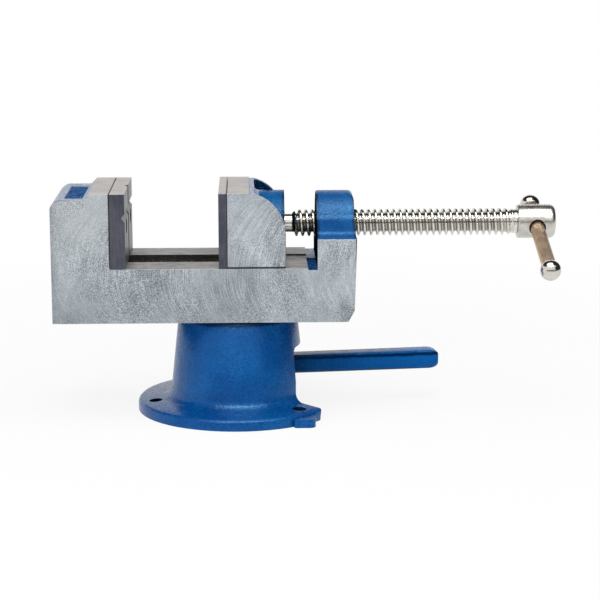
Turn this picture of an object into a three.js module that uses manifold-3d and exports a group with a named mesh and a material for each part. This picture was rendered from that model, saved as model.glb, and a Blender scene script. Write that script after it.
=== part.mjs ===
// A drill press vise on a swivel base with a lock lever, in millimetres, +Z up.
// The origin is on the swivel axis, at the underside of the base.
// The jaws open along X, their width runs along Y, and the screw leaves the body towards +X.
import * as THREE from "three";
import { mergeVertices } from "three/addons/utils/BufferGeometryUtils.js";
import Module from "manifold-3d";

const wasm = await Module();
wasm.setup();

// Fits and cuts
const seatGap = 0.3;            // between two pieces that rest on each other
const slideGap = 0.3;           // each side of a sliding or turning fit
const bootGap = 0.5;            // each side of a bolt in its hole
const overrun = 2;              // how far a cutting body runs past the surface that it cuts
const degree = Math.PI / 180;
const roundSides = 60;          // facets round the cup and flange
const middleSides = 36;         // facets round the screw, hub and lever hub
const smallSides = 20;          // facets round bolts, holes and knobs
const cornerSteps = 3;          // facets in a small rounded edge
const facetDepth = 0.06;        // the most that a facet cuts off an outline's arc

// Swivel base casting
const baseHeight = 63.2;
const cupTopRadius = 37.55;
const cupFootRadius = 43.2;      // where the wall meets the fillet
const cupWall = 6.5;
const cupTopWeb = 9;
const cupTopEdge = 1.2;
const cupFootFillet = 7;
const flangeRadius = 65;
const flangeRootHeight = 8;     // top of the flange where the fillet starts
const flangeRimHeight = 7;
const flangeEdge = 2.6;
const seatRingWidth = 12;       // machined ring that the vise turns on
const seatRelief = 1;
const flangeHoleCount = 3;
const flangeHoleRadius = 4.25;
const flangeHoleCircle = 55;
const flangeHoleStart = 194.5 * degree;
const windowStart = -35.2 * degree;
const windowEnd = 59 * degree;
const windowDraft = 7 * degree; // each side of the window leans in by this over its height
const windowHeight = 42.5;
const windowCorner = 4;
const windowRimRound = 3;       // the flange's corners beside the window, seen from above
const windowSteps = 6;          // facets along the window's sill and head
const lugLeft = 34.9;
const lugRight = 48.5;
const lugFront = -57.8;
const lugRoot = -40;
const lugHeight = 5.5;
const lugLeftCorner = 1.5;
const lugRightCorner = 4;

// Pivot bolt and lock lever
const boltRadius = 6;
const boltHeadRadius = 10.5;    // over the corners of the hexagon
const boltHeadHeight = 5;
const boltHeadSink = 1.5;       // the head's seat in the body floor
const boltTail = 6;             // below the lever's hub
const boltTipChamfer = 1;
const washerRadius = 14.5;
const washerThickness = 2.5;
const leverTurn = 7.5 * degree; // the lever's direction at rest
const leverReach = 131.7;
const leverMiddleHeight = 27.15;
const leverHeight = 12.7;
const leverRootWidth = 11.5;
const leverTipWidth = 14;
const leverTopEdge = 1.3;
const leverBottomEdge = 4.2;
const leverEdgeShare = 0.7;     // the most of the half height that an edge's rounding takes
const leverTipRound = 6;
const leverTipSweep = 75 * degree;
const leverTipInsetShare = 0.5; // how much of the rounding the tip loses in width and height
const leverHubTopRadius = 13;
const leverHubFootRadius = 15;
const leverHubFoot = 2;         // the hub below the arm's underside
const leverHubEdge = 1.5;

// Vise body casting
const jawWidth = 78;
const bedHeight = 34.3;
const jawHeight = 47.2;
const jawOpening = 58;          // between the plates at rest
const fixedFace = -69.4;        // the fixed plate's working face
const fixedPlateThickness = 9.8;
const movablePlateThickness = 5.4;
const fixedJawLength = 36.5;
const fixedTopLength = 12.7;    // machined top behind the plate
const shelfDrop = 3.9;          // the cast shelf below the machined top
const shelfSlope = 3.4;
const shelfFillet = 2.5;
const backCornerDrop = 3.4;
const backCornerLength = 4.6;
const backCornerRound = 4;
const panelLength = 11.5;
const panelWidth = 57;
const panelDepth = 0.8;
const panelInset = 8.2;         // from the back of the body to the panel
const panelCorner = 1.2;
const rearRoom = 19.8;          // between the movable jaw and the nut bracket at rest
const bracketLength = 24.6;
const bracketInnerRound = 2;
const bracketOuterRound = 5;
const endDraft = 1.3;           // the end face leans out by this from its foot to the shoulder
const endLedge = 0.8;           // the crown's end stands back by this
const footCornerLength = 3.9;
const footCornerHeight = 7.2;
const footCornerRound = 1.5;
const screwRise = 22.7;         // screw axis above the bed
const crownRadius = 20.7;       // nut bracket about the screw axis
const crownFlank = 65 * degree; // how far the crown turns down each side
const shoulderRise = 22.9;      // top of the rounded shoulder above the bed
const shoulderRound = 4.3;
const valleyRise = 27.6;
const valleyHalfWidth = 20.6;
const valleyRound = 7;
const planCorner = 0.7;
const coreCorner = 2.2;
const slotWidth = 26.2;
const railThickness = 11.8;
const webRelief = 0.9;          // the end of the bed between the rails
const runOutLength = 5.9;       // cast strip between the rails' end and the bracket
const runOutDrop = 1;
const runOutGrooveRadius = 9;   // scooped along the middle of the strip
const runOutGrooveDepth = 1.4;
const bodyWall = 9;
const bodyFloor = 8;
const floorReach = 44;          // the floor each side of the swivel axis
const fixedFrontWall = 16;
const fixedCoreTop = 14;        // metal above the core in the fixed jaw

// Jaw plates and their screws
const vGrooveDepth = 2.2;
const vGrooveHalfMouth = 3;
const vGrooveDrop = 14.9;       // the level groove below the jaw top
const plateScrewSpread = 21;    // each side of the middle
const plateScrewDrop = 22.6;    // below the jaw top
const plateScrewRadius = 2.9;
const plateHeadRadius = 4.6;
const plateHeadHeight = 3.4;
const plateHeadSink = 0.5;
const plateScrewGrip = 10;      // thread length in the jaw
const hexSocketRadius = 2.4;
const hexSocketDepth = 2;

// Movable jaw casting
const jawWall = 13.7;           // front wall, with the machined top
const movableJawLength = 36.4;
const flankRadius = 26.2;         // arc down the side ribs
const flankDrop = 25.5;         // where the arc meets the back of the ribs
const ribThickness = 4.6;
const pocketFrontWall = 16.8;
const pocketCorner = 4;
const jawFootHeight = 8;
const jawGap = 0.5;             // under the jaw, over the rails
const bossRadius = 21.1;
const bossBackSet = 0.4;        // the boss end ahead of the ribs' backs
const bossRootFillet = 3.2;     // where the boss's crown meets the front wall
const topLipDrop = 0.8;         // cast lip behind the machined top
const tongueLength = 16;
const tongueLead = 1.2;         // the tongue behind the jaw's front wall face
const keeperLength = 20;
const keeperWidth = 42;
const keeperThickness = 6;
const keeperCorner = 2;
const keeperScrewSpread = 6.6;
const keeperScrewRadius = 2.9;
const keeperHeadRadius = 5.2;
const keeperHeadHeight = 2.8;
const keeperScrewGrip = 16;
const neckScrewRadius = 2.9;
const neckScrewBack = 10.9;     // from the back of the ribs to the neck screw
const neckScrewSink = 0.6;      // its top below the crown of the boss
const neckSocketRadius = 1.7;
const openStop = 0.8;           // room left when the jaw is fully open

// Lead screw, hub and sliding bar
const threadRadius = 8.6;
const threadRootRadius = 6.1;
const threadPitch = 4;
const threadLength = 142.3;
const threadFadeLength = 14;    // the root rises over this towards the collar
const threadFadeRadius = 7.6;
const threadRows = [[-0.36, 0], [-0.14, 1], [0.14, 1], [0.36, 0]]; // share of the pitch, 1 at the crest
const threadSides = 12;
const threadSpareTurns = 2;     // wound beyond each end, then trimmed
const neckRadius = 5.85;
const neckReach = 4.6;          // neck showing between the jaw and the thread
const neckDepth = 23;           // neck inside the jaw
const neckGrooveRadius = 4.6;
const neckGrooveWidth = 7.4;
const threadChamfer = 3.6;      // length of the cone that trims each end of the thread
const collarRadius = 7.7;
const collarLength = 2;
const stubRadius = 5;
const stubLength = 6;
const hubRadius = 10.75;
const hubLength = 24.3;
const hubFrontChamfer = 1.2;
const hubEndChamfer = 3.2;
const hubEndDome = 1.2;
const hubFlatShare = 0.35;      // the flat middle of the domed end, of the hub's radius
const crossHoleRadius = 5.4;
const crossHoleInset = 12.2;    // from the hub's inner end to the cross hole
const hubPinRadius = 1.5;
const hubPinInset = 3;
const hubPinDepth = 15;
const barRadius = 4.5;
const barTilt = 15.5 * degree;
const nearBallReach = 70.6;     // from the screw axis to the ball's centre
const farBallReach = 27.2;
const ballRadius = 6.5;
const ballSeatRadius = 4.6;     // the ball's flat, where the bar's shoulder meets it
const ballBoreDepth = 6;
const spigotRadius = 3;

// Places that follow from the sizes
const bodyBottom = baseHeight + seatGap;
const bedTop = bodyBottom + bedHeight;
const jawTop = bedTop + jawHeight;
const screwHeight = bedTop + screwRise;
const halfWidth = jawWidth / 2;
const fixedSeat = fixedFace - fixedPlateThickness;
const bodyBack = fixedSeat - fixedJawLength;
const movableFace = fixedFace + jawOpening;
const movableSeat = movableFace + movablePlateThickness;
const jawBack = movableSeat + movableJawLength;
const bracketInner = jawBack + rearRoom;
const bracketOuter = bracketInner + bracketLength;
const openTravel = rearRoom - openStop;
const railUnder = bedTop - railThickness;
const coreHalfWidth = halfWidth - bodyWall;
const tongueStart = movableSeat + tongueLead;
const tongueEnd = tongueStart + tongueLength;
const keeperMiddle = (tongueStart + tongueEnd) / 2;
const keeperTop = railUnder - seatGap;
const floorTop = bodyBottom + bodyFloor;
const cupUnderWeb = baseHeight - cupTopWeb;
const leverUnder = leverMiddleHeight - leverHeight / 2;
const washerTop = cupUnderWeb - seatGap;
const leverHubTop = washerTop - washerThickness - seatGap;
const leverHubBottom = leverUnder - leverHubFoot;
const neckStart = jawBack - neckDepth;
const threadStart = jawBack + neckReach;
const threadEnd = threadStart + threadLength;
const hubStart = threadEnd + collarLength;
const hubEnd = hubStart + hubLength;
const crossHoleX = hubStart + crossHoleInset;
const boreRadius = threadRadius + slideGap;
const ballFlat = Math.sqrt(ballRadius * ballRadius - ballSeatRadius * ballSeatRadius);

// Finishes
const finish = (color, metalness, roughness) => () =>
  new THREE.MeshStandardMaterial({ color, metalness, roughness, flatShading: true });
const blueEnamel = finish(0x1b4f93, 0, 0.42);
const machinedIron = finish(0x9fa5a9, 0.85, 0.5);
const hardenedSteel = finish(0x585a63, 0.85, 0.42);
const brightNickel = finish(0xcfccc6, 1, 0.2);
const plainSteel = finish(0x8b8d90, 0.9, 0.4);

// A closed geometry as a solid, without the triangles that a turned form folds flat on its axis
function solid(geometry) {
  const bare = geometry.index ? geometry.toNonIndexed() : geometry.clone();
  bare.deleteAttribute("normal");
  bare.deleteAttribute("uv");
  const merged = mergeVertices(bare);
  const corners = merged.index.array;
  const triVerts = [];
  for (let i = 0; i < corners.length; i += 3) {
    const [a, b, c] = [corners[i], corners[i + 1], corners[i + 2]];
    if (a !== b && b !== c && c !== a) triVerts.push(a, b, c);
  }
  const vertProperties = new Float32Array(merged.attributes.position.array);
  const mesh = new wasm.Mesh({ numProp: 3, vertProperties, triVerts: new Uint32Array(triVerts) });
  return new wasm.Manifold(mesh);
}

// A solid as a geometry again
function shell(body) {
  const { numProp, vertProperties, triVerts } = body.getMesh();
  const places = new Float32Array((vertProperties.length / numProp) * 3);
  for (let i = 0; i < places.length / 3; i += 1) {
    places.set(vertProperties.subarray(i * numProp, i * numProp + 3), i * 3);
  }
  const geometry = new THREE.BufferGeometry();
  geometry.setAttribute("position", new THREE.BufferAttribute(places, 3));
  geometry.setIndex(new THREE.BufferAttribute(new Uint32Array(triVerts), 1));
  return geometry;
}

const joined = (...bodies) => bodies.reduce((whole, body) => whole.add(body));
const cut = (whole, ...tools) => tools.reduce((rest, tool) => rest.subtract(tool), whole);

// Points of an arc from one angle to another
function arc(centreX, centreY, radius, from, to, steps) {
  return Array.from({ length: steps + 1 }, (_, step) => {
    const angle = from + ((to - from) * step) / steps;
    return [centreX + radius * Math.cos(angle), centreY + radius * Math.sin(angle)];
  });
}

const shapeOf = (points) => new THREE.Shape(points.map(([x, y]) => new THREE.Vector2(x, y)));

// An outline through corners [x, y, radius], each rounded by an arc of its own radius
function outline(corners) {
  return shapeOf(corners.flatMap(([x, y, radius = 0], index) => {
    if (radius === 0) return [[x, y]];
    const at = new THREE.Vector2(x, y);
    const before = new THREE.Vector2(...corners.at(index - 1)).sub(at).normalize();
    const after = new THREE.Vector2(...corners[(index + 1) % corners.length]).sub(at).normalize();
    const half = Math.acos(before.dot(after)) / 2;
    const middle = before.clone().add(after).normalize().multiplyScalar(radius / Math.sin(half)).add(at);
    const start = before.clone().multiplyScalar(radius / Math.tan(half)).add(at).sub(middle).angle();
    const sweep = Math.sign(after.cross(before)) * (Math.PI - 2 * half);
    const steps = Math.max(2, Math.ceil(Math.abs(sweep) / (2 * Math.acos(1 - facetDepth / radius))));
    return arc(middle.x, middle.y, radius, start, start + sweep, steps);
  }));
}

const rectangle = (xLow, xHigh, yLow, yHigh, radius = 0) =>
  outline([[xLow, yLow, radius], [xHigh, yLow, radius], [xHigh, yHigh, radius], [xLow, yHigh, radius]]);

// Prisms: an outline in X and Y raised along Z, one in Y and Z along X, one in X and Z along Y
function prism(shape, low, high, turn) {
  const geometry = new THREE.ExtrudeGeometry(shape, { depth: high - low, bevelEnabled: false });
  geometry.translate(0, 0, low);
  geometry.applyMatrix4(turn);
  return solid(geometry);
}
const turnFor = (x, y, z) => new THREE.Matrix4().makeBasis(x, y, z);
const unitX = new THREE.Vector3(1, 0, 0);
const unitY = new THREE.Vector3(0, 1, 0);
const unitZ = new THREE.Vector3(0, 0, 1);
const prismZ = (shape, low, high) => prism(shape, low, high, new THREE.Matrix4());
const prismX = (shape, low, high) => prism(shape, low, high, turnFor(unitY, unitZ, unitX));
const prismY = (shape, low, high) => prism(shape, -high, -low, turnFor(unitX, unitZ, unitY.clone().negate()));

const block = (xLow, xHigh, yLow, yHigh, zLow, zHigh) =>
  prismZ(rectangle(xLow, xHigh, yLow, yHigh), zLow, zHigh);

// A turned form: [radius, height] points about Z, then laid along another axis and moved to its place
function turned(profile, sides, place = new THREE.Matrix4()) {
  const points = profile.map(([radius, height]) => new THREE.Vector2(radius, height));
  const geometry = new THREE.LatheGeometry(points, sides);
  geometry.applyMatrix4(turnFor(unitX, unitZ, unitY.clone().negate()));
  geometry.applyMatrix4(place);
  return solid(geometry);
}

// Places for turned forms: standing along Z, lying along X
const standing = (x, y, z) => new THREE.Matrix4().makeTranslation(x, y, z);
const alongX = (x, y, z) => standing(x, y, z).multiply(turnFor(unitY, unitZ, unitX));

const rod = (radius, low, high, sides, place) =>
  turned([[0, low], [radius, low], [radius, high], [0, high]], sides, place);

function named(name, body, material, place = new THREE.Matrix4()) {
  const mesh = new THREE.Mesh(shell(body), material());
  mesh.name = name;
  mesh.applyMatrix4(place);
  return mesh;
}

// Base: a drafted cup on a round flange, open at one side for the lever
function cupProfile() {
  const rimTop = flangeRimHeight - flangeEdge;
  const filletFoot = cupFootRadius + cupFootFillet;
  const wallFoot = flangeRootHeight + cupFootFillet;
  const wallTop = baseHeight - cupTopEdge;
  const innerFoot = cupFootRadius - cupWall;
  const ringInner = cupTopRadius - seatRingWidth;
  const boltHole = boltRadius + bootGap;
  return [
    [innerFoot, 0],
    [flangeRadius, 0],
    ...arc(flangeRadius - flangeEdge, rimTop, flangeEdge, 0, 90 * degree, cornerSteps),
    ...arc(filletFoot, wallFoot, cupFootFillet, 270 * degree, 180 * degree, 2 * cornerSteps),
    [cupTopRadius + cupTopEdge / 2, wallTop],
    [cupTopRadius - cupTopEdge / 2, baseHeight],
    [ringInner, baseHeight],
    [ringInner - seatRelief, baseHeight - seatRelief],
    [boltHole, baseHeight - seatRelief],
    [boltHole, cupUnderWeb],
    [cupTopRadius - cupWall, cupUnderWeb],
    [innerFoot, 0],
  ];
}

// The lever's window: a drafted sector of the wall and flange, with rounded upper corners, which
// opens out at the rim so that the flange's corners are round
function leverWindow() {
  const middle = (windowStart + windowEnd) / 2;
  const half = (windowEnd - windowStart) / 2;
  const corner = windowCorner / cupFootRadius;
  const cornerPoints = (centre, from, to) => arc(0, 0, 1, from, to, cornerSteps).map(([x, y]) =>
    [centre + corner * x, windowHeight - windowCorner + windowCorner * y]);
  const along = Array.from({ length: windowSteps - 1 }, (_, step) => (step + 1) / windowSteps);
  const angleAt = (share) => windowStart + share * (windowEnd - windowStart);
  const sill = along.map((share) => [angleAt(share), -overrun]);
  const head = along.map((share) => [angleAt(1 - share), windowHeight]);
  const points = [
    [windowStart, -overrun],
    ...sill,
    [windowEnd, -overrun],
    ...cornerPoints(windowEnd - corner, 0, 90 * degree),
    ...head,
    ...cornerPoints(windowStart + corner, 90 * degree, 180 * degree),
  ];
  const layers = [
    [leverHubFootRadius + overrun, 0],
    ...arc(flangeRadius - windowRimRound, windowRimRound, windowRimRound, -90 * degree, 0, cornerSteps),
    [(flangeRadius + overrun) / Math.cos(half / 2), windowRimRound],
  ];
  const steps = layers.length - 1;
  const geometry = new THREE.ExtrudeGeometry(shapeOf(points), { depth: steps, steps, bevelEnabled: false });
  const place = geometry.attributes.position;
  for (let i = 0; i < place.count; i += 1) {
    const height = place.getY(i);
    const [radius, widening] = layers[Math.round(place.getZ(i))];
    const spread = 1 - (windowDraft * height) / (windowHeight * half) + widening / (radius * half);
    const angle = middle + (place.getX(i) - middle) * spread;
    place.setXYZ(i, radius * Math.cos(angle), radius * Math.sin(angle), height);
  }
  return solid(geometry);
}

function flangeLug() {
  const shape = outline([
    [lugLeft, lugFront, lugLeftCorner],
    [lugRight, lugFront, lugRightCorner],
    [lugRight, lugRoot],
    [lugLeft, lugRoot],
  ]);
  return prismZ(shape, 0, lugHeight);
}

function baseCasting() {
  const holes = Array.from({ length: flangeHoleCount }, (_, index) => {
    const angle = flangeHoleStart + (index * 2 * Math.PI) / flangeHoleCount;
    const place = standing(flangeHoleCircle * Math.cos(angle), flangeHoleCircle * Math.sin(angle), 0);
    return rod(flangeHoleRadius, -overrun, flangeRootHeight + cupFootFillet, smallSides, place);
  });
  const casting = joined(turned(cupProfile(), roundSides), flangeLug());
  return cut(casting, leverWindow(), ...holes);
}

// Pivot bolt: its head sits in the body floor, and the lever's hub draws it down
function pivotBolt() {
  const headSeat = floorTop - boltHeadSink + seatGap;
  const tip = leverHubBottom - boltTail;
  const shank = turned([
    [0, tip],
    [boltRadius - boltTipChamfer, tip],
    [boltRadius, tip + boltTipChamfer],
    [boltRadius, headSeat + overrun],
    [0, headSeat + overrun],
  ], smallSides);
  const head = rod(boltHeadRadius, headSeat, headSeat + boltHeadHeight, 6);
  return joined(shank, head);
}

function lockWasher() {
  const bore = boltRadius + bootGap;
  return turned([
    [bore, washerTop - washerThickness],
    [washerRadius, washerTop - washerThickness],
    [washerRadius, washerTop],
    [bore, washerTop],
    [bore, washerTop - washerThickness],
  ], middleSides);
}

// A rounded bar section across X, at a distance out along the arm
function barSection(distance, halfWide, halfTall) {
  const corners = [
    [1, 1, leverTopEdge],
    [-1, 1, leverTopEdge],
    [-1, -1, leverBottomEdge],
    [1, -1, leverBottomEdge],
  ];
  return corners.flatMap(([sideY, sideZ, edge], index) => {
    const radius = Math.min(edge, halfTall * leverEdgeShare);
    return arc(sideY * (halfWide - radius), sideZ * (halfTall - radius), radius,
      index * 90 * degree, (index + 1) * 90 * degree, cornerSteps)
      .map(([y, z]) => new THREE.Vector3(distance, y, leverMiddleHeight + z));
  });
}

// A closed skin over sections with the same number of points, in order along +X
function loft(sections) {
  const count = sections[0].length;
  const places = sections.flat().flatMap((point) => [point.x, point.y, point.z]);
  const faces = [];
  for (let ring = 0; ring + 1 < sections.length; ring += 1) {
    for (let i = 0; i < count; i += 1) {
      const a = ring * count + i;
      const b = ring * count + ((i + 1) % count);
      faces.push(a, b, b + count, a, b + count, a + count);
    }
  }
  const last = (sections.length - 1) * count;
  for (let i = 1; i + 1 < count; i += 1) {
    faces.push(0, i + 1, i);
    faces.push(last, last + i, last + i + 1);
  }
  const geometry = new THREE.BufferGeometry();
  geometry.setAttribute("position", new THREE.Float32BufferAttribute(places, 3));
  geometry.setIndex(faces);
  return solid(geometry);
}

// Lock lever: a threaded hub under the base and an arm that widens towards its rounded tip
function lockLever() {
  const tipStart = leverReach - leverTipRound;
  const widthAt = (distance) =>
    leverRootWidth + ((leverTipWidth - leverRootWidth) * distance) / leverReach;
  const straight = [boltRadius + slideGap, tipStart].map((distance) =>
    barSection(distance, widthAt(distance) / 2, leverHeight / 2));
  const tip = arc(0, 0, 1, 0, leverTipSweep, cornerSteps).slice(1).map(([across, along]) => {
    const distance = tipStart + (leverTipRound * along) / Math.sin(leverTipSweep);
    const inset = leverTipRound * (1 - across) * leverTipInsetShare;
    return barSection(distance, leverTipWidth / 2 - inset, leverHeight / 2 - inset);
  });
  const hub = turned([
    [0, leverHubBottom],
    [leverHubFootRadius - leverHubEdge, leverHubBottom],
    [leverHubFootRadius, leverHubBottom + leverHubEdge],
    [leverHubFootRadius, leverUnder + leverHeight],
    [leverHubTopRadius, leverUnder + leverHeight + leverHubEdge],
    [leverHubTopRadius, leverHubTop],
    [0, leverHubTop],
  ], middleSides);
  const bore = rod(boltRadius + slideGap, leverHubBottom - overrun, leverHubTop + overrun, smallSides);
  return cut(joined(hub, loft([...straight, ...tip])), bore);
}

// Body: the side outline, from the back of the fixed jaw round to the nut bracket
function bodySide() {
  const shelf = jawTop - shelfDrop;
  const railEnd = bracketInner - runOutLength;
  const bracketTop = screwHeight + crownRadius;
  const ledge = bedTop + shoulderRise - shoulderRound;
  return outline([
    [bodyBack, bodyBottom],
    [bracketOuter - endDraft - footCornerLength, bodyBottom, footCornerRound],
    [bracketOuter - endDraft, bodyBottom + footCornerHeight, footCornerRound],
    [bracketOuter, ledge],
    [bracketOuter - endLedge, ledge],
    [bracketOuter - endLedge, bracketTop, bracketOuterRound],
    [bracketInner, bracketTop, bracketInnerRound],
    [bracketInner, bedTop - runOutDrop],
    [railEnd, bedTop - runOutDrop],
    [railEnd, bedTop],
    [fixedSeat, bedTop],
    [fixedSeat, jawTop],
    [fixedSeat - fixedTopLength, jawTop],
    [fixedSeat - fixedTopLength - shelfSlope, shelf, shelfFillet],
    [bodyBack + backCornerLength, shelf, backCornerRound],
    [bodyBack, shelf - backCornerDrop, backCornerRound],
  ]);
}

// The nut bracket seen along the screw: a crown about the screw, valleys and rounded shoulders
function bracketCrown() {
  const shoulder = bedTop + shoulderRise;
  const valley = bedTop + valleyRise;
  const apex = screwHeight + crownRadius / Math.cos(crownFlank);
  const below = bodyBottom - overrun;
  return outline([
    [-halfWidth, below],
    [halfWidth, below],
    [halfWidth, shoulder, shoulderRound],
    [valleyHalfWidth, valley, valleyRound],
    [0, apex, crownRadius],
    [-valleyHalfWidth, valley, valleyRound],
    [-halfWidth, shoulder, shoulderRound],
  ]);
}

// Cores of the casting: the slot between the rails, the keeper's channel and the open underside
function bodyCores() {
  const slotStart = fixedSeat + overrun;
  const slotEnd = tongueEnd + openTravel + slideGap;
  const channelEnd = keeperMiddle + keeperLength / 2 + openTravel + overrun;
  const below = bodyBottom - overrun;
  const backCore = bodyBack + bodyWall;
  return [
    block(slotStart, slotEnd, -slotWidth / 2, slotWidth / 2, railUnder - overrun, bedTop + overrun),
    block(slotEnd - overrun, bracketInner - runOutLength + overrun,
      -slotWidth / 2, slotWidth / 2, bedTop - webRelief, bedTop + overrun),
    block(backCore, channelEnd, -coreHalfWidth, coreHalfWidth, floorTop, railUnder),
    prismZ(rectangle(backCore, -floorReach, -coreHalfWidth, coreHalfWidth, coreCorner), below, railUnder),
    prismZ(rectangle(floorReach, bracketOuter - bodyWall, -coreHalfWidth, coreHalfWidth, coreCorner),
      below, railUnder),
    prismZ(rectangle(backCore, fixedSeat - fixedFrontWall, -coreHalfWidth, coreHalfWidth, coreCorner),
      railUnder - overrun, jawTop - shelfDrop - fixedCoreTop),
  ];
}

// Tapped holes for the plate screws, in the jaw behind a plate
function plateScrewHoles(seat, facing) {
  return [-1, 1].map((side) => {
    const place = alongX(seat, side * plateScrewSpread, jawTop - plateScrewDrop);
    const ends = [facing * overrun, -facing * (plateScrewGrip + bootGap)].sort((a, b) => a - b);
    return rod(plateScrewRadius + slideGap, ends[0], ends[1], smallSides, place);
  });
}

function viseBody() {
  const sides = prismY(bodySide(), -halfWidth, halfWidth);
  const planShape = rectangle(bodyBack, bracketOuter, -halfWidth, halfWidth, planCorner);
  const plan = prismZ(planShape, bodyBottom - overrun, jawTop + overrun);
  const bracketZone = block(bracketInner - runOutLength, bracketOuter + overrun,
    -halfWidth - overrun, halfWidth + overrun, bedTop + shoulderRise / 2, jawTop + overrun);
  const crown = prismX(bracketCrown(), bracketInner - runOutLength - overrun, bracketOuter + 2 * overrun);
  const panelStart = bodyBack + panelInset;
  const panelShape = rectangle(panelStart, panelStart + panelLength,
    -panelWidth / 2, panelWidth / 2, panelCorner);
  const panel = prismZ(panelShape, jawTop - shelfDrop - panelDepth, jawTop);
  const nutBore = rod(boreRadius, bracketInner - overrun, bracketOuter + overrun, middleSides,
    alongX(0, 0, screwHeight));
  const boltHole = rod(boltRadius + bootGap, bodyBottom - overrun, floorTop + overrun, smallSides);
  const headSeat = rod(boltHeadRadius + slideGap, floorTop - boltHeadSink, floorTop + overrun, 6);
  const grooveHeight = bedTop - runOutDrop - runOutGrooveDepth + runOutGrooveRadius;
  const runOutGroove = rod(runOutGrooveRadius, bracketInner - runOutLength, bracketInner, middleSides,
    alongX(0, 0, grooveHeight));
  const shaped = cut(sides.intersect(plan), cut(bracketZone, crown));
  const holes = [nutBore, boltHole, headSeat, ...plateScrewHoles(fixedSeat, 1)];
  return cut(shaped, panel, runOutGroove, ...holes, ...bodyCores());
}

// Jaw plates: flat, or with a level and an upright V groove that hold round bars
function jawPlate(seat, face, bottom) {
  const [low, high] = [Math.min(seat, face), Math.max(seat, face)];
  const facing = Math.sign(face - seat);
  const bodyPart = block(low, high, -halfWidth, halfWidth, bottom, jawTop);
  const depth = plateHeadHeight + plateHeadSink;
  const holes = [-1, 1].flatMap((side) => {
    const place = alongX(face, side * plateScrewSpread, jawTop - plateScrewDrop);
    const through = [-facing * (high - low + overrun), facing * overrun].sort((a, b) => a - b);
    const sunk = [-facing * depth, facing * overrun].sort((a, b) => a - b);
    return [
      rod(plateScrewRadius + slideGap, through[0], through[1], smallSides, place),
      rod(plateHeadRadius + slideGap, sunk[0], sunk[1], smallSides, place),
    ];
  });
  return cut(bodyPart, ...holes);
}

function fixedJawPlate() {
  const plate = jawPlate(fixedSeat + seatGap, fixedFace, bedTop + seatGap);
  const grooveHeight = jawTop - vGrooveDrop;
  const mouth = (vGrooveHalfMouth * (vGrooveDepth + overrun)) / vGrooveDepth;
  const level = outline([
    [fixedFace - vGrooveDepth, grooveHeight],
    [fixedFace + overrun, grooveHeight - mouth],
    [fixedFace + overrun, grooveHeight + mouth],
  ]);
  const upright = outline([
    [fixedFace - vGrooveDepth, 0],
    [fixedFace + overrun, -mouth],
    [fixedFace + overrun, mouth],
  ]);
  return cut(plate,
    prismY(level, -halfWidth - overrun, halfWidth + overrun),
    prismZ(upright, bedTop - overrun, jawTop + overrun));
}

// A socket head screw that points along -X or +X, with its head just under the plate's face
function plateScrew(face, seat, facing, side) {
  const place = alongX(face, side * plateScrewSpread, jawTop - plateScrewDrop);
  const headTop = -plateHeadSink;
  const headUnder = headTop - plateHeadHeight + seatGap;
  const tip = -(Math.abs(face - seat) + plateScrewGrip);
  const profile = [
    [0, tip],
    [plateScrewRadius, tip],
    [plateScrewRadius, headUnder],
    [plateHeadRadius, headUnder],
    [plateHeadRadius, headTop],
    [0, headTop],
  ];
  if (facing < 0) place.multiply(new THREE.Matrix4().makeRotationX(Math.PI));
  const socket = rod(hexSocketRadius, headTop - hexSocketDepth, headTop + overrun, 6, place);
  return cut(turned(profile, smallSides, place), socket);
}

// Movable jaw: the side ribs fall in an arc behind a machined top
function jawSide() {
  const top = new THREE.Vector2(movableSeat + jawWall, jawTop);
  const bottom = new THREE.Vector2(jawBack, jawTop - flankDrop);
  const chord = bottom.clone().sub(top);
  const inward = new THREE.Vector2(chord.y, -chord.x).normalize();
  const depth = Math.sqrt(flankRadius * flankRadius - chord.lengthSq() / 4);
  const centre = top.clone().add(bottom).multiplyScalar(1 / 2).add(inward.multiplyScalar(depth));
  const start = top.clone().sub(centre).angle();
  const stop = bottom.clone().sub(centre).angle();
  return shapeOf([
    [movableSeat, bedTop + jawGap],
    [jawBack, bedTop + jawGap],
    ...arc(centre.x, centre.y, flankRadius, stop, start, 3 * cornerSteps),
    [movableSeat, jawTop],
  ]);
}

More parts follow.
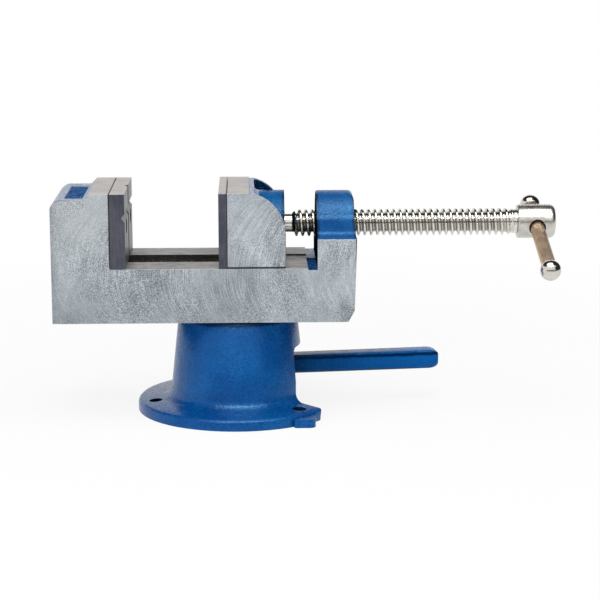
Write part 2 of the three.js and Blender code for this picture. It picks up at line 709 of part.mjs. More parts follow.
function movableJaw() {
  const foot = bedTop + jawGap;
  const pocketFront = movableSeat + pocketFrontWall;
  const casting = prismY(jawSide(), -halfWidth, halfWidth);
  const pockets = [-1, 1].map((side) => {
    const inner = bossRadius - pocketCorner;
    const outer = halfWidth - ribThickness;
    const [low, high] = side < 0 ? [-outer, -inner] : [inner, outer];
    return prismZ(rectangle(pocketFront, jawBack + 2 * pocketCorner, low, high, pocketCorner),
      foot + jawFootHeight, jawTop + overrun);
  });
  const overBoss = block(pocketFront, jawBack + overrun, -bossRadius, bossRadius,
    foot + jawFootHeight, jawTop + overrun);
  const bossShape = outline([
    [-bossRadius, foot],
    [bossRadius, foot],
    [bossRadius, screwHeight + bossRadius, bossRadius],
    [-bossRadius, screwHeight + bossRadius, bossRadius],
  ]);
  const boss = prismX(bossShape, movableSeat + jawWall / 2, jawBack - bossBackSet);
  const lip = block(movableSeat + jawWall, jawBack + overrun, -halfWidth - overrun, halfWidth + overrun,
    jawTop - topLipDrop, jawTop + overrun);
  const bossRoot = turned([
    [0, pocketFront - overrun],
    [bossRadius + bossRootFillet, pocketFront - overrun],
    ...arc(bossRadius + bossRootFillet, pocketFront + bossRootFillet, bossRootFillet,
      270 * degree, 180 * degree, cornerSteps),
    [0, pocketFront + bossRootFillet],
  ], middleSides, alongX(0, 0, screwHeight));
  const upperHalf = block(movableSeat, jawBack, -halfWidth, halfWidth, screwHeight, jawTop);
  const bodyPart = cut(joined(cut(casting, ...pockets, overBoss), boss, bossRoot.intersect(upperHalf)), lip);
  const tongue = block(tongueStart, tongueEnd, -slotWidth / 2 + slideGap, slotWidth / 2 - slideGap,
    keeperTop + seatGap, foot + overrun);
  const neckBore = rod(neckRadius + slideGap, neckStart - seatGap, jawBack + overrun, smallSides,
    alongX(0, 0, screwHeight));
  const neckScrewX = jawBack - neckScrewBack;
  const neckHole = rod(neckScrewRadius + slideGap, screwHeight, screwHeight + bossRadius + overrun,
    smallSides, standing(neckScrewX, 0, 0));
  const keeperHoles = [-1, 1].map((side) => rod(keeperScrewRadius + slideGap,
    keeperTop - overrun, keeperTop - keeperThickness + keeperScrewGrip + bootGap, smallSides,
    standing(keeperMiddle, side * keeperScrewSpread, 0)));
  const plateHoles = plateScrewHoles(movableSeat, -1);
  return cut(joined(bodyPart, tongue), neckBore, neckHole, ...keeperHoles, ...plateHoles);
}

function keeperPlate() {
  const shape = rectangle(keeperMiddle - keeperLength / 2, keeperMiddle + keeperLength / 2,
    -keeperWidth / 2, keeperWidth / 2, keeperCorner);
  const plate = prismZ(shape, keeperTop - keeperThickness, keeperTop);
  const under = keeperTop - keeperThickness;
  const holes = [-1, 1].flatMap((side) => {
    const place = standing(keeperMiddle, side * keeperScrewSpread, under);
    return [
      rod(keeperScrewRadius + slideGap, -overrun, keeperThickness + overrun, smallSides, place),
      rod(keeperHeadRadius + slideGap, -overrun, keeperHeadHeight, smallSides, place),
    ];
  });
  return cut(plate, ...holes);
}

function keeperScrew(side) {
  const under = keeperTop - keeperThickness;
  const place = standing(keeperMiddle, side * keeperScrewSpread, under);
  const headTop = keeperHeadHeight - seatGap;
  const screw = turned([
    [0, 0],
    [keeperHeadRadius, 0],
    [keeperHeadRadius, headTop],
    [keeperScrewRadius, headTop],
    [keeperScrewRadius, keeperScrewGrip],
    [0, keeperScrewGrip],
  ], smallSides, place);
  return cut(screw, rod(hexSocketRadius, -overrun, hexSocketDepth - seatGap, 6, place));
}

// The screw that rides in the neck's groove and pulls the jaw back with the lead screw
function neckScrew() {
  const place = standing(jawBack - neckScrewBack, 0, screwHeight);
  const tip = neckGrooveRadius + seatGap;
  const top = bossRadius - neckScrewSink;
  const screw = rod(neckScrewRadius, tip, top, smallSides, place);
  return cut(screw, rod(neckSocketRadius, top - hexSocketDepth, top + overrun, 6, place));
}

// The pin that holds the hub on the screw's stub, driven in from below
const hubPinPlace = standing(hubStart + hubPinInset, 0, screwHeight - hubRadius);

function hubPinHole() {
  return rod(hubPinRadius + slideGap, -overrun, hubPinDepth + bootGap, smallSides / 2, hubPinPlace);
}

function hubPin() {
  return rod(hubPinRadius, slideGap, hubPinDepth, smallSides / 2, hubPinPlace);
}

// The right-hand thread as one closed skin wound about X, whose rows climb one pitch in each turn
function woundThread() {
  const turnRows = threadRows.length;
  const turns = Math.ceil(threadLength / threadPitch) + 2 * threadSpareTurns;
  const lastRow = turns * turnRows;
  const places = [];
  for (let row = 0; row <= lastRow + turnRows; row += 1) {
    const [share, crest] = threadRows[row % turnRows];
    for (let side = 0; side < threadSides; side += 1) {
      const angle = (2 * Math.PI * side) / threadSides;
      const turn = Math.floor(row / turnRows) - threadSpareTurns + share + side / threadSides;
      const x = threadStart + threadPitch * turn;
      const fade = THREE.MathUtils.clamp(1 - (threadEnd - x) / threadFadeLength, 0, 1);
      const root = threadRootRadius + (threadFadeRadius - threadRootRadius) * fade;
      const radius = crest ? threadRadius : root;
      places.push(x, radius * Math.cos(angle), screwHeight + radius * Math.sin(angle));
    }
  }
  const at = (row, side) =>
    (side < threadSides ? row * threadSides + side : (row + turnRows) * threadSides);
  const faces = [];
  for (let row = 0; row < lastRow; row += 1) {
    for (let side = 0; side < threadSides; side += 1) {
      const [a, b] = [at(row, side), at(row, side + 1)];
      const [c, d] = [at(row + 1, side + 1), at(row + 1, side)];
      faces.push(a, b, c, a, c, d);
    }
  }
  for (const row of [0, lastRow]) {
    const centre = places.length / 3;
    places.push(places[3 * at(row, 0)], 0, screwHeight);
    const rim = Array.from({ length: threadSides }, (_, side) => at(row, side));
    const seam = Array.from({ length: turnRows }, (_, step) => at(row + turnRows - step, 0));
    const loop = [...rim, ...seam];
    loop.forEach((corner, index) => {
      const next = loop[(index + 1) % loop.length];
      faces.push(centre, ...(row === 0 ? [next, corner] : [corner, next]));
    });
  }
  const geometry = new THREE.BufferGeometry();
  geometry.setAttribute("position", new THREE.Float32BufferAttribute(places, 3));
  geometry.setIndex(faces);
  return solid(geometry);
}

// Lead screw: neck with its groove, core with the thread trimmed by a cone at each end, collar, stub
function leadScrew() {
  const grooveMiddle = jawBack - neckScrewBack;
  const grooveHalf = neckGrooveWidth / 2;
  const coneFoot = neckRadius - seatGap;
  const trim = turned([
    [0, threadStart],
    [coneFoot, threadStart],
    [threadRadius + overrun, threadStart + threadChamfer],
    [threadRadius + overrun, threadEnd - threadChamfer],
    [coneFoot, threadEnd + collarLength / 2],
    [0, threadEnd + collarLength / 2],
  ], middleSides, alongX(0, 0, screwHeight));
  const core = turned([
    [0, neckStart],
    [neckRadius, neckStart],
    [neckRadius, grooveMiddle - grooveHalf],
    [neckGrooveRadius, grooveMiddle - grooveHalf],
    [neckGrooveRadius, grooveMiddle + grooveHalf],
    [neckRadius, grooveMiddle + grooveHalf],
    [neckRadius, threadEnd],
    [collarRadius, threadEnd],
    [collarRadius, hubStart - seatGap],
    [stubRadius, hubStart - seatGap],
    [stubRadius, hubStart + stubLength],
    [0, hubStart + stubLength],
  ], middleSides, alongX(0, 0, screwHeight));
  return cut(joined(core, woundThread().intersect(trim)), hubPinHole());
}

// The sliding bar's own place: along the tilted cross hole, resting on its lower side
const barPlace = new THREE.Matrix4()
  .makeTranslation(crossHoleX, 0, screwHeight)
  .multiply(new THREE.Matrix4().makeRotationX(90 * degree + barTilt));
const barSettle = crossHoleRadius - barRadius - slideGap;

function driveHub() {
  const domeStart = hubEnd - hubEndDome;
  const hub = turned([
    [0, hubStart],
    [hubRadius - hubFrontChamfer, hubStart],
    [hubRadius, hubStart + hubFrontChamfer],
    [hubRadius, domeStart - hubEndChamfer],
    [hubRadius - hubEndChamfer, domeStart],
    [hubRadius * hubFlatShare, hubEnd],
    [0, hubEnd],
  ], middleSides, alongX(0, 0, screwHeight));
  const socket = rod(stubRadius + slideGap, hubStart - overrun, hubStart + stubLength + seatGap,
    smallSides, alongX(0, 0, screwHeight));
  const crossHole = rod(crossHoleRadius, -hubRadius - overrun, hubRadius + overrun, smallSides, barPlace);
  return cut(hub, socket, crossHole, hubPinHole());
}

// The bar's own Z runs from the far ball to the near one, which hangs in front of the vise
function slidingBar() {
  const near = nearBallReach - ballFlat;
  const far = -(farBallReach - ballFlat);
  const spigot = ballBoreDepth - seatGap;
  return turned([
    [0, far - spigot],
    [spigotRadius, far - spigot],
    [spigotRadius, far + seatGap],
    [barRadius, far + seatGap],
    [barRadius, near - seatGap],
    [spigotRadius, near - seatGap],
    [spigotRadius, near + spigot],
    [0, near + spigot],
  ], smallSides);
}

function barBall(reach) {
  const flatAngle = Math.acos(ballFlat / ballRadius);
  const ball = turned([
    [0, -ballFlat],
    ...arc(0, 0, ballRadius, -90 * degree + flatAngle, 90 * degree, 3 * cornerSteps),
  ], smallSides);
  const bore = rod(spigotRadius + slideGap, -ballFlat - overrun, ballBoreDepth - ballFlat, smallSides);
  const turn = reach < 0 ? new THREE.Matrix4().makeRotationX(Math.PI) : new THREE.Matrix4();
  const geometry = shell(cut(ball, bore));
  geometry.applyMatrix4(new THREE.Matrix4().makeTranslation(0, 0, reach).multiply(turn));
  return solid(geometry);
}

// The assembly, one group for each body that moves by itself
const vise = new THREE.Group();
const swivelBase = new THREE.Group();
const lockLeverGroup = new THREE.Group();
const turningBody = new THREE.Group();
const slidingJaw = new THREE.Group();
const turningScrew = new THREE.Group();
const slidingHandle = new THREE.Group();
vise.add(swivelBase, lockLeverGroup, turningBody);
turningBody.add(slidingJaw);
slidingJaw.add(turningScrew);
turningScrew.add(slidingHandle);

swivelBase.add(named("base_casting", baseCasting(), blueEnamel));

lockLeverGroup.rotation.z = leverTurn;
lockLeverGroup.add(
  named("lock_lever", lockLever(), blueEnamel),
  named("lock_washer", lockWasher(), plainSteel),
);

turningBody.add(
  named("vise_body", viseBody(), machinedIron),
  named("pivot_bolt", pivotBolt(), plainSteel),
  named("fixed_jaw_plate", fixedJawPlate(), hardenedSteel),
);

slidingJaw.add(
  named("movable_jaw", movableJaw(), machinedIron),
  named("movable_jaw_plate", jawPlate(movableSeat - seatGap, movableFace, bedTop + seatGap), hardenedSteel),
  named("keeper_plate", keeperPlate(), plainSteel),
  named("neck_screw", neckScrew(), plainSteel),
);

for (const [end, side] of [["near", -1], ["far", 1]]) {
  turningBody.add(named(`fixed_plate_screw_${end}`, plateScrew(fixedFace, fixedSeat, 1, side), plainSteel));
  slidingJaw.add(
    named(`movable_plate_screw_${end}`, plateScrew(movableFace, movableSeat, -1, side), plainSteel),
    named(`keeper_screw_${end}`, keeperScrew(side), plainSteel),
  );
}

turningScrew.add(
  named("lead_screw", leadScrew(), brightNickel),
  named("drive_hub", driveHub(), brightNickel),
  named("hub_pin", hubPin(), plainSteel),
);

slidingHandle.applyMatrix4(barPlace);
slidingHandle.translateY(barSettle);
slidingHandle.add(
  named("sliding_bar", slidingBar(), brightNickel),
  named("bar_ball_near", barBall(nearBallReach), brightNickel),
  named("bar_ball_far", barBall(-farBallReach), brightNickel),
);

export default vise;
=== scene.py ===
"""Looks of a drill press vise on its swivel base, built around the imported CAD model, in metres."""

import math

import bmesh
import bpy
import numpy as np
from mathutils import Matrix, Vector


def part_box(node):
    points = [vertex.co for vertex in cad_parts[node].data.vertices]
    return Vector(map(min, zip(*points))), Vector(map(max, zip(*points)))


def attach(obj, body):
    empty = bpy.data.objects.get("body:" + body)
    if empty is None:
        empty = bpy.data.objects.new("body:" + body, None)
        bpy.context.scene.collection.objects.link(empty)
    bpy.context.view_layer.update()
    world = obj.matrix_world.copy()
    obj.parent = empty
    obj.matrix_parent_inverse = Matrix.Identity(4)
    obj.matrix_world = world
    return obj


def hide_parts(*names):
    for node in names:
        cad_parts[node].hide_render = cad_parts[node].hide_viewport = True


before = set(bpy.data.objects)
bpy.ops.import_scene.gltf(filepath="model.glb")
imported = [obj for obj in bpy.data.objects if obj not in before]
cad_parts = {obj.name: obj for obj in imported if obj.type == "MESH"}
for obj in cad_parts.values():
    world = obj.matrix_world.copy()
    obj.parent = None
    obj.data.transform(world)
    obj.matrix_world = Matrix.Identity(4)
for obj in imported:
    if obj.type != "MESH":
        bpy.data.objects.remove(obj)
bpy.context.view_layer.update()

MM = 0.001
TURN = 2 * math.pi


# Depths and lengths that the corners of the CAD nodes don't give

PLATE_PLAY = 0.3 * MM
ROOM_BEHIND_JAW = 19.8 * MM
LEVER_DEPTH = 14.7 * MM
CROWN_HEIGHT = 28.9 * MM
RAIL_DEPTH = 11.8 * MM
SHELF_DROP = 3.9 * MM
SHELF_ROUNDING = 8 * MM
PANEL_DEPTH = 0.8 * MM
RUN_OUT_LENGTH = 6.2 * MM
HALF_SLOT = 13.3 * MM
CORE_WALL = 8 * MM
POCKET_FRONT_DEPTH = 16.8 * MM
BOLT_CIRCLE = 55 * MM
BOLT_ANGLES = [math.radians(angle) for angle in (74.5, 194.5, 314.5)]
NEAR_BOLT = BOLT_ANGLES[2]
HUB_RADIUS, HUB_LENGTH, HUB_ROUNDING, HUB_TO_HOLE = 10.75 * MM, 24.3 * MM, 3.4 * MM, 12.2 * MM
PITCH = 4 * MM
NECK_RADIUS, SHANK_RADIUS, SPIGOT_RADIUS = 5.85 * MM, 7.7 * MM, 5 * MM
ROOT_RADIUS, CREST_RADIUS = 6 * MM, 8.6 * MM
THREAD_LEAD, THREAD_LENGTH = 4.6 * MM, 142.3 * MM
BAR_TILT = math.radians(15.5)
BAR_DROP = 0.6 * MM
BAR_RADIUS, BAR_SPIGOT, BALL_RADIUS, BALL_FLAT_RADIUS = 4.5 * MM, 3 * MM, 6.5 * MM, 4.6 * MM
NEAR_REACH, FAR_REACH = 70.6 * MM, 27.2 * MM


# Places taken from the CAD nodes

def low(node):
    """Lowest corner of a CAD node, in metres."""
    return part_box(node)[0]


def high(node):
    """Highest corner of a CAD node, in metres."""
    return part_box(node)[1]


JAW_TOP = high("vise_body").z
HALF_WIDTH = high("vise_body").y
BODY_BOTTOM = low("vise_body").z
BODY_BACK = low("vise_body").x
BED_TOP = low("fixed_jaw_plate").z - PLATE_PLAY
RAIL_UNDER = BED_TOP - RAIL_DEPTH
SHELF_TOP = JAW_TOP - SHELF_DROP
FIXED_SEAT = low("fixed_jaw_plate").x - PLATE_PLAY
MOVABLE_SEAT = high("movable_jaw_plate").x
JAW_FRONT = low("movable_jaw").x
JAW_BACK = high("movable_jaw").x
BRACKET_INNER = JAW_BACK + ROOM_BEHIND_JAW
BRACKET_OUTER = high("vise_body").x
PAINT_FOOT = JAW_TOP - CROWN_HEIGHT
LEVER_TOP = low("lock_lever").z + LEVER_DEPTH
LEVER_END = high("lock_lever").x
CUP_TOP = high("base_casting").z
HUB_START = low("drive_hub").x
SCREW_HEIGHT = (low("drive_hub").z + high("drive_hub").z) / 2
THREAD_START = JAW_BACK + THREAD_LEAD
CROSS_HOLE = Vector((HUB_START + HUB_TO_HOLE, 0, SCREW_HEIGHT))
BAR_ALONG = Vector((0, -math.cos(BAR_TILT), -math.sin(BAR_TILT)))
BAR_MIDDLE = CROSS_HOLE + Vector((0, math.sin(BAR_TILT), -math.cos(BAR_TILT))) * BAR_DROP
BALL_FLAT = math.sqrt(BALL_RADIUS ** 2 - BALL_FLAT_RADIUS ** 2)


# Meshes

def finish_piece(name, mesh, body, materials, nodes):
    """Puts a mesh in the scene as a piece that rides on a body and stands for CAD nodes."""
    piece = bpy.data.objects.new(name, mesh)
    bpy.context.scene.collection.objects.link(piece)
    for material in materials:
        mesh.materials.append(material)
    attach(piece, body)
    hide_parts(*nodes)
    return piece


def smooth(mesh, angle):
    """Smooth faces, with a sharp edge wherever two faces meet at more than the angle, in degrees."""
    mesh.polygons.foreach_set("use_smooth", np.ones(len(mesh.polygons), bool))
    mesh.set_sharp_from_angle(angle=math.radians(angle))
    mesh.update()


def outward(mesh):
    """Turns every face outwards, judged by the sign of the enclosed volume."""
    work = bmesh.new()
    work.from_mesh(mesh)
    bmesh.ops.recalc_face_normals(work, faces=work.faces)
    if work.calc_volume(signed=True) < 0:
        bmesh.ops.reverse_faces(work, faces=work.faces)
    work.to_mesh(mesh)
    work.free()


def skin(name, rings, smooth_angle):
    """Closed mesh over an array of rings (count, sides, 3): quads between rings, one fan at each end."""
    count, sides, _ = rings.shape
    points = np.vstack([rings.reshape(-1, 3), rings[0].mean(0), rings[-1].mean(0)])
    ring, side = np.meshgrid(np.arange(count - 1), np.arange(sides), indexing="ij")
    first = ring * sides + side
    second = ring * sides + (side + 1) % sides
    quads = np.stack([first, second, second + sides, first + sides], -1).reshape(-1, 4)
    around = np.arange(sides)
    beyond = (around + 1) % sides
    start_fan = np.stack([np.full(sides, count * sides), beyond, around], -1)
    last = (count - 1) * sides
    end_fan = np.stack([np.full(sides, count * sides + 1), last + around, last + beyond], -1)
    mesh = bpy.data.meshes.new(name)
    mesh.from_pydata(points.tolist(), [], quads.tolist() + start_fan.tolist() + end_fan.tolist())
    outward(mesh)
    smooth(mesh, smooth_angle)
    return mesh


def axes_along(direction):
    """Two unit vectors square to a direction, as numpy rows with the direction last."""
    along = np.array(direction, float)
    along /= np.linalg.norm(along)
    across = np.cross(along, [0.0, 0.0, 1.0] if abs(along[2]) < 0.9 else [1.0, 0.0, 0.0])
    across /= np.linalg.norm(across)
    return across, np.cross(along, across), along


def lathe_rings(profile, sides, origin, direction):
    """Rings of a turned form: origin + height * direction + radius * (cos, sin) for each (radius, height)."""
    across, upward, along = axes_along(direction)
    profile = np.array(profile, float)
    angle = np.arange(sides) * TURN / sides
    circle = np.cos(angle)[:, None] * across + np.sin(angle)[:, None] * upward
    return (np.array(origin, float) + profile[:, 1, None, None] * along
            + np.maximum(profile[:, 0], 1e-7)[:, None, None] * circle)


def arc_points(centre, radius, start, stop, steps):
    """(radius, height) points of an arc about a centre, angles in degrees."""
    angle = np.radians(np.linspace(start, stop, steps + 1))
    return np.stack([centre[0] + radius * np.cos(angle), centre[1] + radius * np.sin(angle)], -1)


def bored(mesh, *tools):
    """A mesh with other closed meshes taken out of it."""
    work = bpy.data.objects.new("work", mesh)
    bpy.context.scene.collection.objects.link(work)
    helpers = []
    for tool in tools:
        helper = bpy.data.objects.new("tool", tool)
        bpy.context.scene.collection.objects.link(helper)
        helpers.append(helper)
        cut = work.modifiers.new("bore", "BOOLEAN")
        cut.operation = "DIFFERENCE"
        cut.solver = "EXACT"
        cut.object = helper
    bpy.context.view_layer.update()
    result = bpy.data.meshes.new_from_object(work.evaluated_get(bpy.context.evaluated_depsgraph_get()))
    for spare in [work, *helpers]:
        bpy.data.objects.remove(spare)
    result.materials.clear()
    smooth(result, 35)
    return result


def merged_copy(node, name):
    """The CAD node's triangles with their shared corners joined and flat neighbours made one face."""
    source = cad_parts[node].data
    places = np.empty(len(source.vertices) * 3)
    source.vertices.foreach_get("co", places)
    corners = np.empty(len(source.loops), np.int64)
    source.loops.foreach_get("vertex_index", corners)
    unique, index = np.unique(places.reshape(-1, 3).round(6), axis=0, return_inverse=True)
    faces = index.reshape(-1)[corners].reshape(-1, 3)
    keep = (faces[:, 0] != faces[:, 1]) & (faces[:, 1] != faces[:, 2]) & (faces[:, 2] != faces[:, 0])
    mesh = bpy.data.meshes.new(name)
    mesh.from_pydata(unique.tolist(), [], faces[keep].tolist())
    work = bmesh.new()
    work.from_mesh(mesh)
    bmesh.ops.dissolve_limit(work, angle_limit=math.radians(0.6), verts=work.verts, edges=work.edges)
    work.to_mesh(mesh)
    work.free()
    return mesh


def give_finishes(mesh, finishes, choose):
    """Gives each face the finish whose name choose(centres, normals) returns for it."""
    count = len(mesh.polygons)
    centres, normals = np.empty(count * 3), np.empty(count * 3)
    mesh.polygons.foreach_get("center", centres)
    mesh.polygons.foreach_get("normal", normals)
    kinds, kind = np.unique(choose(centres.reshape(-1, 3), normals.reshape(-1, 3)), return_inverse=True)
    order = np.array([list(finishes).index(name) for name in kinds], np.int32)
    mesh.polygons.foreach_set("material_index", order[kind.reshape(-1)])


def soften(piece, name, width, least_angle):
    """A narrow round over every edge where two faces meet at more than the angle, in degrees."""
    bevel = piece.modifiers.new(name, "BEVEL")
    bevel.limit_method = "ANGLE"
    bevel.angle_limit = math.radians(least_angle)
    bevel.width = width
    bevel.segments = 2
    bevel.harden_normals = True


def dressed(node, name, body, finishes, choose, edge, least_angle=32):
    """A CAD node's own shape with softened edges and a finish on each face."""
    mesh = merged_copy(node, name)
    if choose:
        give_finishes(mesh, finishes, choose)
    smooth(mesh, least_angle)
    piece = finish_piece(name, mesh, body, finishes.values(), [node])
    soften(piece, "softened edges", edge, least_angle)


# Finishes

def tint(red, green, blue, light=1.0):
    """A display colour, 0 to 255, made lighter or darker, as linear values."""
    share = np.array([red, green, blue]) * light / 255
    linear = np.where(share <= 0.04045, share / 12.92, ((share + 0.055) / 1.055) ** 2.4)
    return (*linear.tolist(), 1.0)


class Finish:
    """A material's nodes, built up around its Principled shader, on Object coordinates."""

    def __init__(self, name, **uniform):
        self.material = bpy.data.materials.new(name)
        self.material.use_nodes = True
        self.nodes = self.material.node_tree.nodes
        self.links = self.material.node_tree.links
        self.shader = self.nodes["Principled BSDF"]
        for socket, value in uniform.items():
            label = socket.replace("_", " ").title().replace("Ior", "IOR")
            self.shader.inputs[label].default_value = value
        self.place = self.nodes.new("ShaderNodeTexCoord").outputs["Object"]

    def add(self, kind, inputs, output=0, **settings):
        """One node with its settings and inputs, numbers or links; returns one of its outputs."""
        node = self.nodes.new(kind)
        for setting, value in settings.items():
            setattr(node, setting, value)
        for socket, value in inputs.items():
            if isinstance(value, bpy.types.NodeSocket):
                self.links.new(value, node.inputs[socket])
            else:
                node.inputs[socket].default_value = value
        return node.outputs[output]

    def parts(self):
        """X, Y and Z of the place."""
        node = self.nodes.new("ShaderNodeSeparateXYZ")
        self.links.new(self.place, node.inputs[0])
        return node.outputs

    def mapped(self, scale=(1, 1, 1), turn=(0, 0, 0), move=(0, 0, 0)):
        """Object coordinates moved, turned in degrees and scaled."""
        inputs = {"Vector": self.place, "Location": move, "Scale": scale}
        inputs["Rotation"] = [math.radians(angle) for angle in turn]
        return self.add("ShaderNodeMapping", inputs)

    def noise(self, scale, detail=2.0, rough=0.5, place=None, warp=0.0):
        """Noise of so many features a metre."""
        inputs = {"Vector": place or self.place, "Scale": scale, "Detail": detail}
        inputs.update({"Roughness": rough, "Distortion": warp})
        return self.add("ShaderNodeTexNoise", inputs)

    def maths(self, operation, first, second=0.0):
        """One step of arithmetic."""
        return self.add("ShaderNodeMath", {0: first, 1: second}, operation=operation)

    def total(self, first, second):
        """Two values added."""
        return self.maths("ADD", first, second)

    def less(self, first, second):
        """The first value less the second."""
        return self.maths("SUBTRACT", first, second)

    def larger(self, first, second):
        """The larger of two values."""
        return self.maths("MAXIMUM", first, second)

    def product(self, *values):
        """Several values multiplied."""
        result = values[0]
        for value in values[1:]:
            result = self.maths("MULTIPLY", result, value)
        return result

    def span(self, value, start, stop, to_start=0.0, to_stop=1.0):
        """Value carried from one range to another, and held at its ends."""
        return self.add("ShaderNodeMapRange", {0: value, 1: start, 2: stop, 3: to_start, 4: to_stop})

    def between(self, value, start, full, fade, stop):
        """Rises from 0 to 1 between start and full, and falls back to 0 between fade and stop."""
        return self.product(self.span(value, start, full), self.span(value, fade, stop, 1.0, 0.0))

    def blend(self, share, first, second):
        """Two colours mixed by a share."""
        inputs = {0: share, 6: first, 7: second}
        return self.add("ShaderNodeMix", inputs, 2, data_type="RGBA", blend_type="MIX")

    def bump(self, height, depth, strength=1.0, under=None):
        """A surface normal raised by a height, whose full range is so deep."""
        inputs = {"Strength": strength, "Distance": depth, "Height": height}
        if under:
            inputs["Normal"] = under
        return self.add("ShaderNodeBump", inputs)

    def wire(self, **sockets):
        """Links to the shader's own sockets, and returns the material."""
        for socket, value in sockets.items():
            self.links.new(value, self.shader.inputs[socket.replace("_", " ")])
        return self.material


# Blue enamel

BLUE_SHEEN = (0.35, 0.72, 1.0, 1.0)
# Pale flecks on the enamel: partly chipped paint, partly painted glints
CHIP_AND_GLINT_BLUE = tint(150, 178, 214)
# Painted shade: the darker blue of the enamel's bands
PAINTED_SHADE_BLUE = tint(0, 14, 44)
SIDE_BLUE = tint(14, 76, 140)


def blue_enamel(name, tone, green=1.0, peel=1.3, gloss=0.0, chips_and_glints=0.0, chips_a_metre=620,
                painted_shade_bands=(), lighter_end=None, blur=0.14):
    """Gloss blue over a rough casting: orange peel over low lumps, darker in the pores, and pale flecks that
    are partly chips and partly painted glints.

    Each painted shade band is an axis and four places along it, between which shade is painted into the
    colour as a darker blue. The lighter end is an axis and the places on it where the colour starts to
    lighten and is lightest. Blur is the least roughness."""
    paint = Finish(name, specular_ior_level=gloss, specular_tint=BLUE_SHEEN)
    drift = paint.span(paint.noise(42, 2.0), 0.35, 0.65)
    colour = paint.blend(drift, tint(2, 70 * green, 134, tone), tint(6, 86 * green, 150, tone))
    pores = paint.span(paint.noise(860, 3.0, 0.6), 0.42, 0.66, 0.0, 0.7)
    colour = paint.blend(pores, colour, tint(0, 44 * green, 98, tone))
    # Pale flecks: partly chipped paint, partly painted glints
    if chips_and_glints:
        pale_flecks = paint.span(paint.noise(chips_a_metre, 3.0, 0.7), 0.52, 0.64, 0.0, chips_and_glints)
        colour = paint.blend(pale_flecks, colour, CHIP_AND_GLINT_BLUE)
    if lighter_end:
        axis, start, palest = lighter_end
        paler = paint.span(paint.parts()[axis], start, palest, 0.0, 0.5)
        colour = paint.blend(paler, colour, tint(14, 104, 190))
    # Painted shade: each band darkens the blue between its places
    for axis, start, full, fade, stop in painted_shade_bands:
        wander = paint.span(paint.noise(220, 2.0), 0.3, 0.7, -0.3 * MM, 0.3 * MM)
        along = paint.total(paint.parts()[axis], wander)
        shade_share = paint.product(paint.between(along, start, full, fade, stop), 0.85)
        colour = paint.blend(shade_share, colour, PAINTED_SHADE_BLUE)
    rough = paint.span(paint.noise(400, 2.0), 0.3, 0.7, blur, blur + 0.12)
    lumps = paint.bump(paint.noise(150, 2.0), 0.3 * MM * peel, 0.5)
    orange_peel = paint.bump(paint.noise(800, 2.0, 0.5), 0.2 * MM * peel, 0.8, lumps)
    return paint.wire(Base_Color=colour, Roughness=rough, Normal=orange_peel)


# Ground and cast iron

def plate_gap(iron):
    """Share of dark oil in the thin lines where the two jaw plates meet their castings."""
    x, _, z = iron.parts()
    fixed, movable = [iron.span(iron.maths("ABSOLUTE", iron.less(x, seat)), 0.3 * MM, 0.65 * MM, 0.9, 0.0)
                      for seat in (FIXED_SEAT, MOVABLE_SEAT)]
    return iron.product(iron.larger(fixed, movable), iron.span(z, BED_TOP + 0.6 * MM, BED_TOP + 0.8 * MM))


def grinding_lines(iron, reach, middle, fine):
    """Arcs of a wheel fed along X: noise that is fine across them and long along them.

    It is taken over x + sqrt(reach^2 - (z - middle)^2) - reach. Below the middle the wheel ran tighter, so
    the reach is shorter there."""
    x, y, z = iron.parts()
    rise = iron.less(z, middle)
    wheel = iron.span(rise, -1e-6, 1e-6, 0.6 * reach, reach)
    inside = iron.less(iron.product(wheel, wheel), iron.product(rise, rise))
    bow = iron.less(iron.maths("SQRT", iron.larger(inside, 1e-6)), wheel)
    inputs = {0: iron.total(x, bow), 1: iron.product(z, 0.02), 2: iron.product(y, 0.5)}
    return iron.noise(fine, 1.0, 0.5, iron.add("ShaderNodeCombineXYZ", inputs))


def grinding_marks(iron, lines):
    """The arcs from dark, -1, to light, 1, in patches, and calmer to the left and low down on the right."""
    x, _, z = iron.parts()
    patches = iron.span(iron.noise(38, 3.0), 0.38, 0.64, 0.2, 1.0)
    calm_left = iron.span(x, FIXED_SEAT - 30 * MM, FIXED_SEAT + 10 * MM, 0.35, 1.0)
    on_the_bed = iron.span(z, BED_TOP - 4 * MM, BED_TOP + 4 * MM, 1.0, 0.0)
    calm_right = iron.span(iron.product(on_the_bed, x), -10 * MM, 30 * MM, 1.0, 0.45)
    return iron.product(iron.span(lines, 0.36, 0.64, -1.0, 1.0), patches, calm_left, calm_right)


def side_grit(iron):
    """Fine light and dark grit, coarser in some places."""
    rough_cut = iron.span(iron.noise(30, 2.0, place=iron.mapped(move=(3, 0, 0))), 0.42, 0.60, 0.55, 1.25)
    return iron.product(iron.span(iron.noise(1700, 3.0, 0.7), 0.3, 0.7, -0.76, 0.50), rough_cut)


def side_grey(iron):
    """Clouded grey with warm patches; painted shade low down and at the back edge, and painted light towards
    the jaw's top.
    """
    x, _, z = iron.parts()
    cloud = iron.noise(1.0, 4.0, 0.62, iron.mapped((34, 20, 22), (0, 40, 0)), 0.6)
    grey = iron.blend(iron.span(cloud, 0.34, 0.66), tint(140, 148, 154), tint(192, 200, 206))
    grey = iron.blend(iron.span(iron.noise(9, 2.0), 0.52, 0.72, 0.0, 0.4), grey, tint(176, 174, 168))
    # Painted shade: darker low down, more so to the left
    shade_low_down = iron.span(z, BODY_BOTTOM, BED_TOP + 12 * MM, 0.5, 0.0)
    to_the_left = iron.span(x, -100 * MM, 0.0, 1.0, 0.45)
    grey = iron.blend(iron.product(shade_low_down, to_the_left), grey, tint(112, 120, 126))
    # Painted light: paler towards the jaw's top
    grey = iron.blend(iron.span(z, BED_TOP, JAW_TOP, 0.0, 0.35), grey, tint(196, 204, 210))
    # Painted shade along the back edge
    back_edge_shade = iron.span(x, BODY_BACK, BODY_BACK + 4.5 * MM, 0.4, 0.0)
    return iron.blend(back_edge_shade, grey, tint(112, 118, 122))


